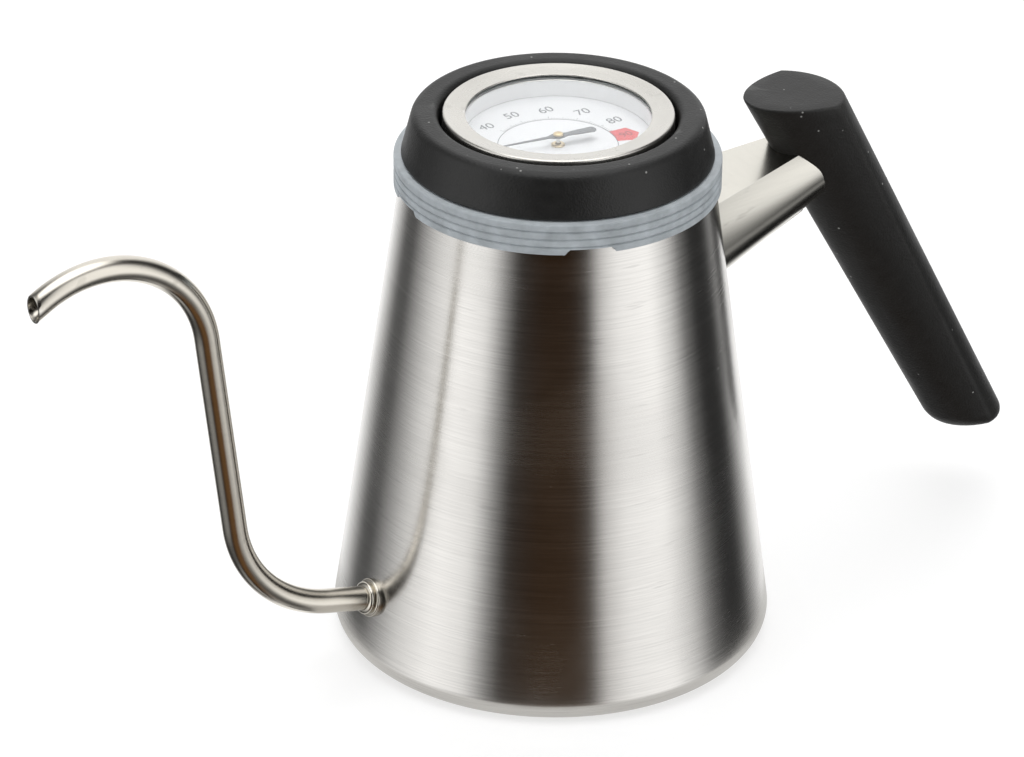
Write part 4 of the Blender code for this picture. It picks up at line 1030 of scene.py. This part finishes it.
def band(inner, outer, start, end, steps):
    """Outline of part of a ring between two radii and two angles."""
    angle = np.linspace(start, end, steps)
    return np.concatenate((polar(inner, angle), polar(outer, angle[::-1])))


SCALE_RADIUS = 14.8 * MM
LINE_HALF, TICK_HALF = 0.09 * MM, 0.055 * MM
TEN_TICK, FIVE_TICK, ONE_TICK = 1.5 * MM, 1.1 * MM, 0.75 * MM
ink_grey = enamel("dial_ink", (0.14, 0.15, 0.165), 0.5)
arc_line = band(SCALE_RADIUS - LINE_HALF, SCALE_RADIUS + LINE_HALF, np.radians(-42),
                np.radians(153), 90)
ticks = []
half_tick = TICK_HALF / SCALE_RADIUS
for degree in range(FIRST_MARK, LAST_MARK + 1):
    angle = scale_angle(degree)
    reach = TEN_TICK if degree % 10 == 0 else FIVE_TICK if degree % 5 == 0 else ONE_TICK
    ticks.append(band(SCALE_RADIUS, SCALE_RADIUS + reach, angle - half_tick,
                      angle + half_tick, 2))
inked("dial_scale", [arc_line] + ticks, ink_grey)

FIGURE_RADIUS, FIGURE_SIZE = 20.2 * MM, 4.1 * MM


def figures(name, text, place, size, material, z):
    """Plain figures as one thin solid, read from the spout towards the handle."""
    curve = bpy.data.curves.new(name, "FONT")
    curve.body = text
    curve.size = size
    curve.align_x, curve.align_y = "CENTER", "CENTER"
    curve.extrude = INK / 2
    curve.resolution_u = 6
    holder = bpy.data.objects.new(name + "_line", curve)
    bpy.context.scene.collection.objects.link(holder)
    bpy.context.view_layer.update()
    graph = bpy.context.evaluated_depsgraph_get()
    mesh = bpy.data.meshes.new_from_object(holder.evaluated_get(graph))
    bpy.data.objects.remove(holder)
    mesh.name = name
    mesh.transform(Matrix.Translation((place[0], place[1], z + INK / 2)))
    faced_out(mesh, merge=True)
    return seat(name, mesh, material, "lid", ())


for degree in (40, 50, 60, 70, 80):
    place = polar(FIGURE_RADIUS, scale_angle(degree))
    figures(f"dial_figure_{degree}", str(degree), place, FIGURE_SIZE, ink_grey, DIAL_FACE)

red_ink = enamel("dial_red", (0.72, 0.07, 0.08), 0.45)
RED_MIDDLE, RED_HALF = np.radians(-11.0), np.radians(11.0)
SECTOR_IN, SECTOR_SIDE, SECTOR_POINT = 14.9 * MM, 19.6 * MM, 21.4 * MM
side_half = RED_HALF * 0.95
sector = np.concatenate((
    polar(SECTOR_IN, np.linspace(RED_MIDDLE - RED_HALF, RED_MIDDLE + RED_HALF, 12)),
    polar(SECTOR_SIDE, np.array([RED_MIDDLE + side_half])),
    polar(SECTOR_POINT, np.array([RED_MIDDLE])),
    polar(SECTOR_SIDE, np.array([RED_MIDDLE - side_half]))))
inked("dial_red_sector", [sector], red_ink)
figures("dial_figure_90", "90", polar(18.0 * MM, RED_MIDDLE), 3.4 * MM,
        enamel("dial_dark_red", (0.30, 0.03, 0.04), 0.5), DIAL_FACE + INK)

# ---- pointer -----------------------------------------------------------------
# Grey enamelled needle on a thin shaft: a long fine tip, a round eye and a broad
# short tail, with a small brass hub over it and a brass bush under it.

REST = np.radians(173)
NEEDLE_LOW, NEEDLE_THICK = DIAL_FACE + 2.35 * MM, 0.3 * MM
half_line = np.array((  # distance along the needle, tip first, and half its width
    (16.6, 0.10), (12.0, 0.20), (6.0, 0.34), (2.6, 0.5), (1.5, 1.1), (0.8, 1.45),
    (0.0, 1.62), (-0.8, 1.45), (-1.5, 1.1), (-2.4, 0.8), (-5.0, 1.1), (-9.3, 1.35),
    (-9.9, 0.9), (-10.2, 0.0))) * MM
needle_line = np.concatenate((half_line, half_line[-2::-1] * (1, -1)))
spin_rest = np.array(((np.cos(REST), np.sin(REST)), (-np.sin(REST), np.cos(REST))))
needle_rows = []
for height, shrink in ((0.0, 0.94), (0.05 * MM, 1.0), (0.25 * MM, 1.0), (NEEDLE_THICK, 0.94)):
    ring = needle_line * (1, shrink) @ spin_rest + PIVOT
    needle_rows.append(np.column_stack((ring, np.full(len(ring), NEEDLE_LOW + height))))
needle_grey = enamel("needle_grey", (0.13, 0.14, 0.15), 0.38, 0.3)
solid("thermometer_pointer", np.stack(needle_rows), needle_grey, "needle", ["pointer"])
hub_low = NEEDLE_LOW + NEEDLE_THICK + 0.15 * MM
hub_profile = joined((0, hub_low + 0.6 * MM), (0.7 * MM, hub_low + 0.6 * MM),
                     (1.2 * MM, hub_low + 0.35 * MM), (1.3 * MM, hub_low), (0, hub_low))
solid("pointer_cap", spun(hub_profile, 40, PIVOT), brass_metal, "needle", ["pointer_hub"])
SPINDLE_RADIUS, SPINDLE_LOW = 0.5 * MM, 40 * MM
spindle_top = NEEDLE_LOW + 0.5 * MM
shaft_profile = joined((0, spindle_top), (SPINDLE_RADIUS, spindle_top),
                       (SPINDLE_RADIUS, SPINDLE_LOW), (0, SPINDLE_LOW))
solid("pointer_spindle", spun(shaft_profile, 24, PIVOT), bright, "needle",
      ["pointer_shaft"])
BUSH_TOP, BUSH_LOW = DIAL_FACE + 0.5 * MM, DIAL_FACE - 4.8 * MM
BUSH_BORE, BUSH_RADIUS = 0.8 * MM, 1.7 * MM
bush_profile = joined((BUSH_BORE, BUSH_TOP), (BUSH_RADIUS - 0.3 * MM, BUSH_TOP),
                      (BUSH_RADIUS, BUSH_TOP - 0.2 * MM), (BUSH_RADIUS, BUSH_LOW),
                      (BUSH_BORE, BUSH_LOW))
solid("pointer_bush", spun(bush_profile, 48, PIVOT), brass_metal, "lid", ["shaft_bush"],
      closed=True)

# ---- stem --------------------------------------------------------------------
# Closed stainless tube that dips in the water, with the bimetal coil inside it and
# a silicone washer under the nut.

STEM_RADIUS, STEM_WALL = 2.5 * MM, 0.4 * MM
STEM_TOP, STEM_LOW = 133.9 * MM, 35.0 * MM
stem_profile = joined(
    (STEM_RADIUS - STEM_WALL, STEM_TOP), (STEM_RADIUS, STEM_TOP),
    np.stack((np.full(12, STEM_RADIUS), np.linspace(122 * MM, STEM_LOW + 1.2 * MM, 12)), 1),
    arc((STEM_RADIUS - 1 * MM, STEM_LOW + 1 * MM), 1 * MM, 0, -90, 8), (0, STEM_LOW),
    (0, STEM_LOW + STEM_WALL), (STEM_RADIUS - STEM_WALL, STEM_LOW + STEM_WALL))
solid("thermometer_stem", spun(stem_profile, 48, PIVOT), polished, "lid", ["stem_tube"],
      closed=True)
WASHER_BORE, WASHER_RIM, WASHER_EDGE = 4.3 * MM, 7.0 * MM, 0.2 * MM
WASHER_TOP, WASHER_LOW = 128.4 * MM, 127.4 * MM
washer_profile = joined(
    (WASHER_BORE, WASHER_TOP), (WASHER_RIM - WASHER_EDGE, WASHER_TOP),
    (WASHER_RIM, WASHER_TOP - WASHER_EDGE), (WASHER_RIM, WASHER_LOW + WASHER_EDGE),
    (WASHER_RIM - WASHER_EDGE, WASHER_LOW), (WASHER_BORE, WASHER_LOW))
solid("nut_washer", spun(washer_profile, 64, PIVOT), silicone, "lid", ["nut_seal"],
      closed=True)
refinish(brass_metal, "bimetal_coil")
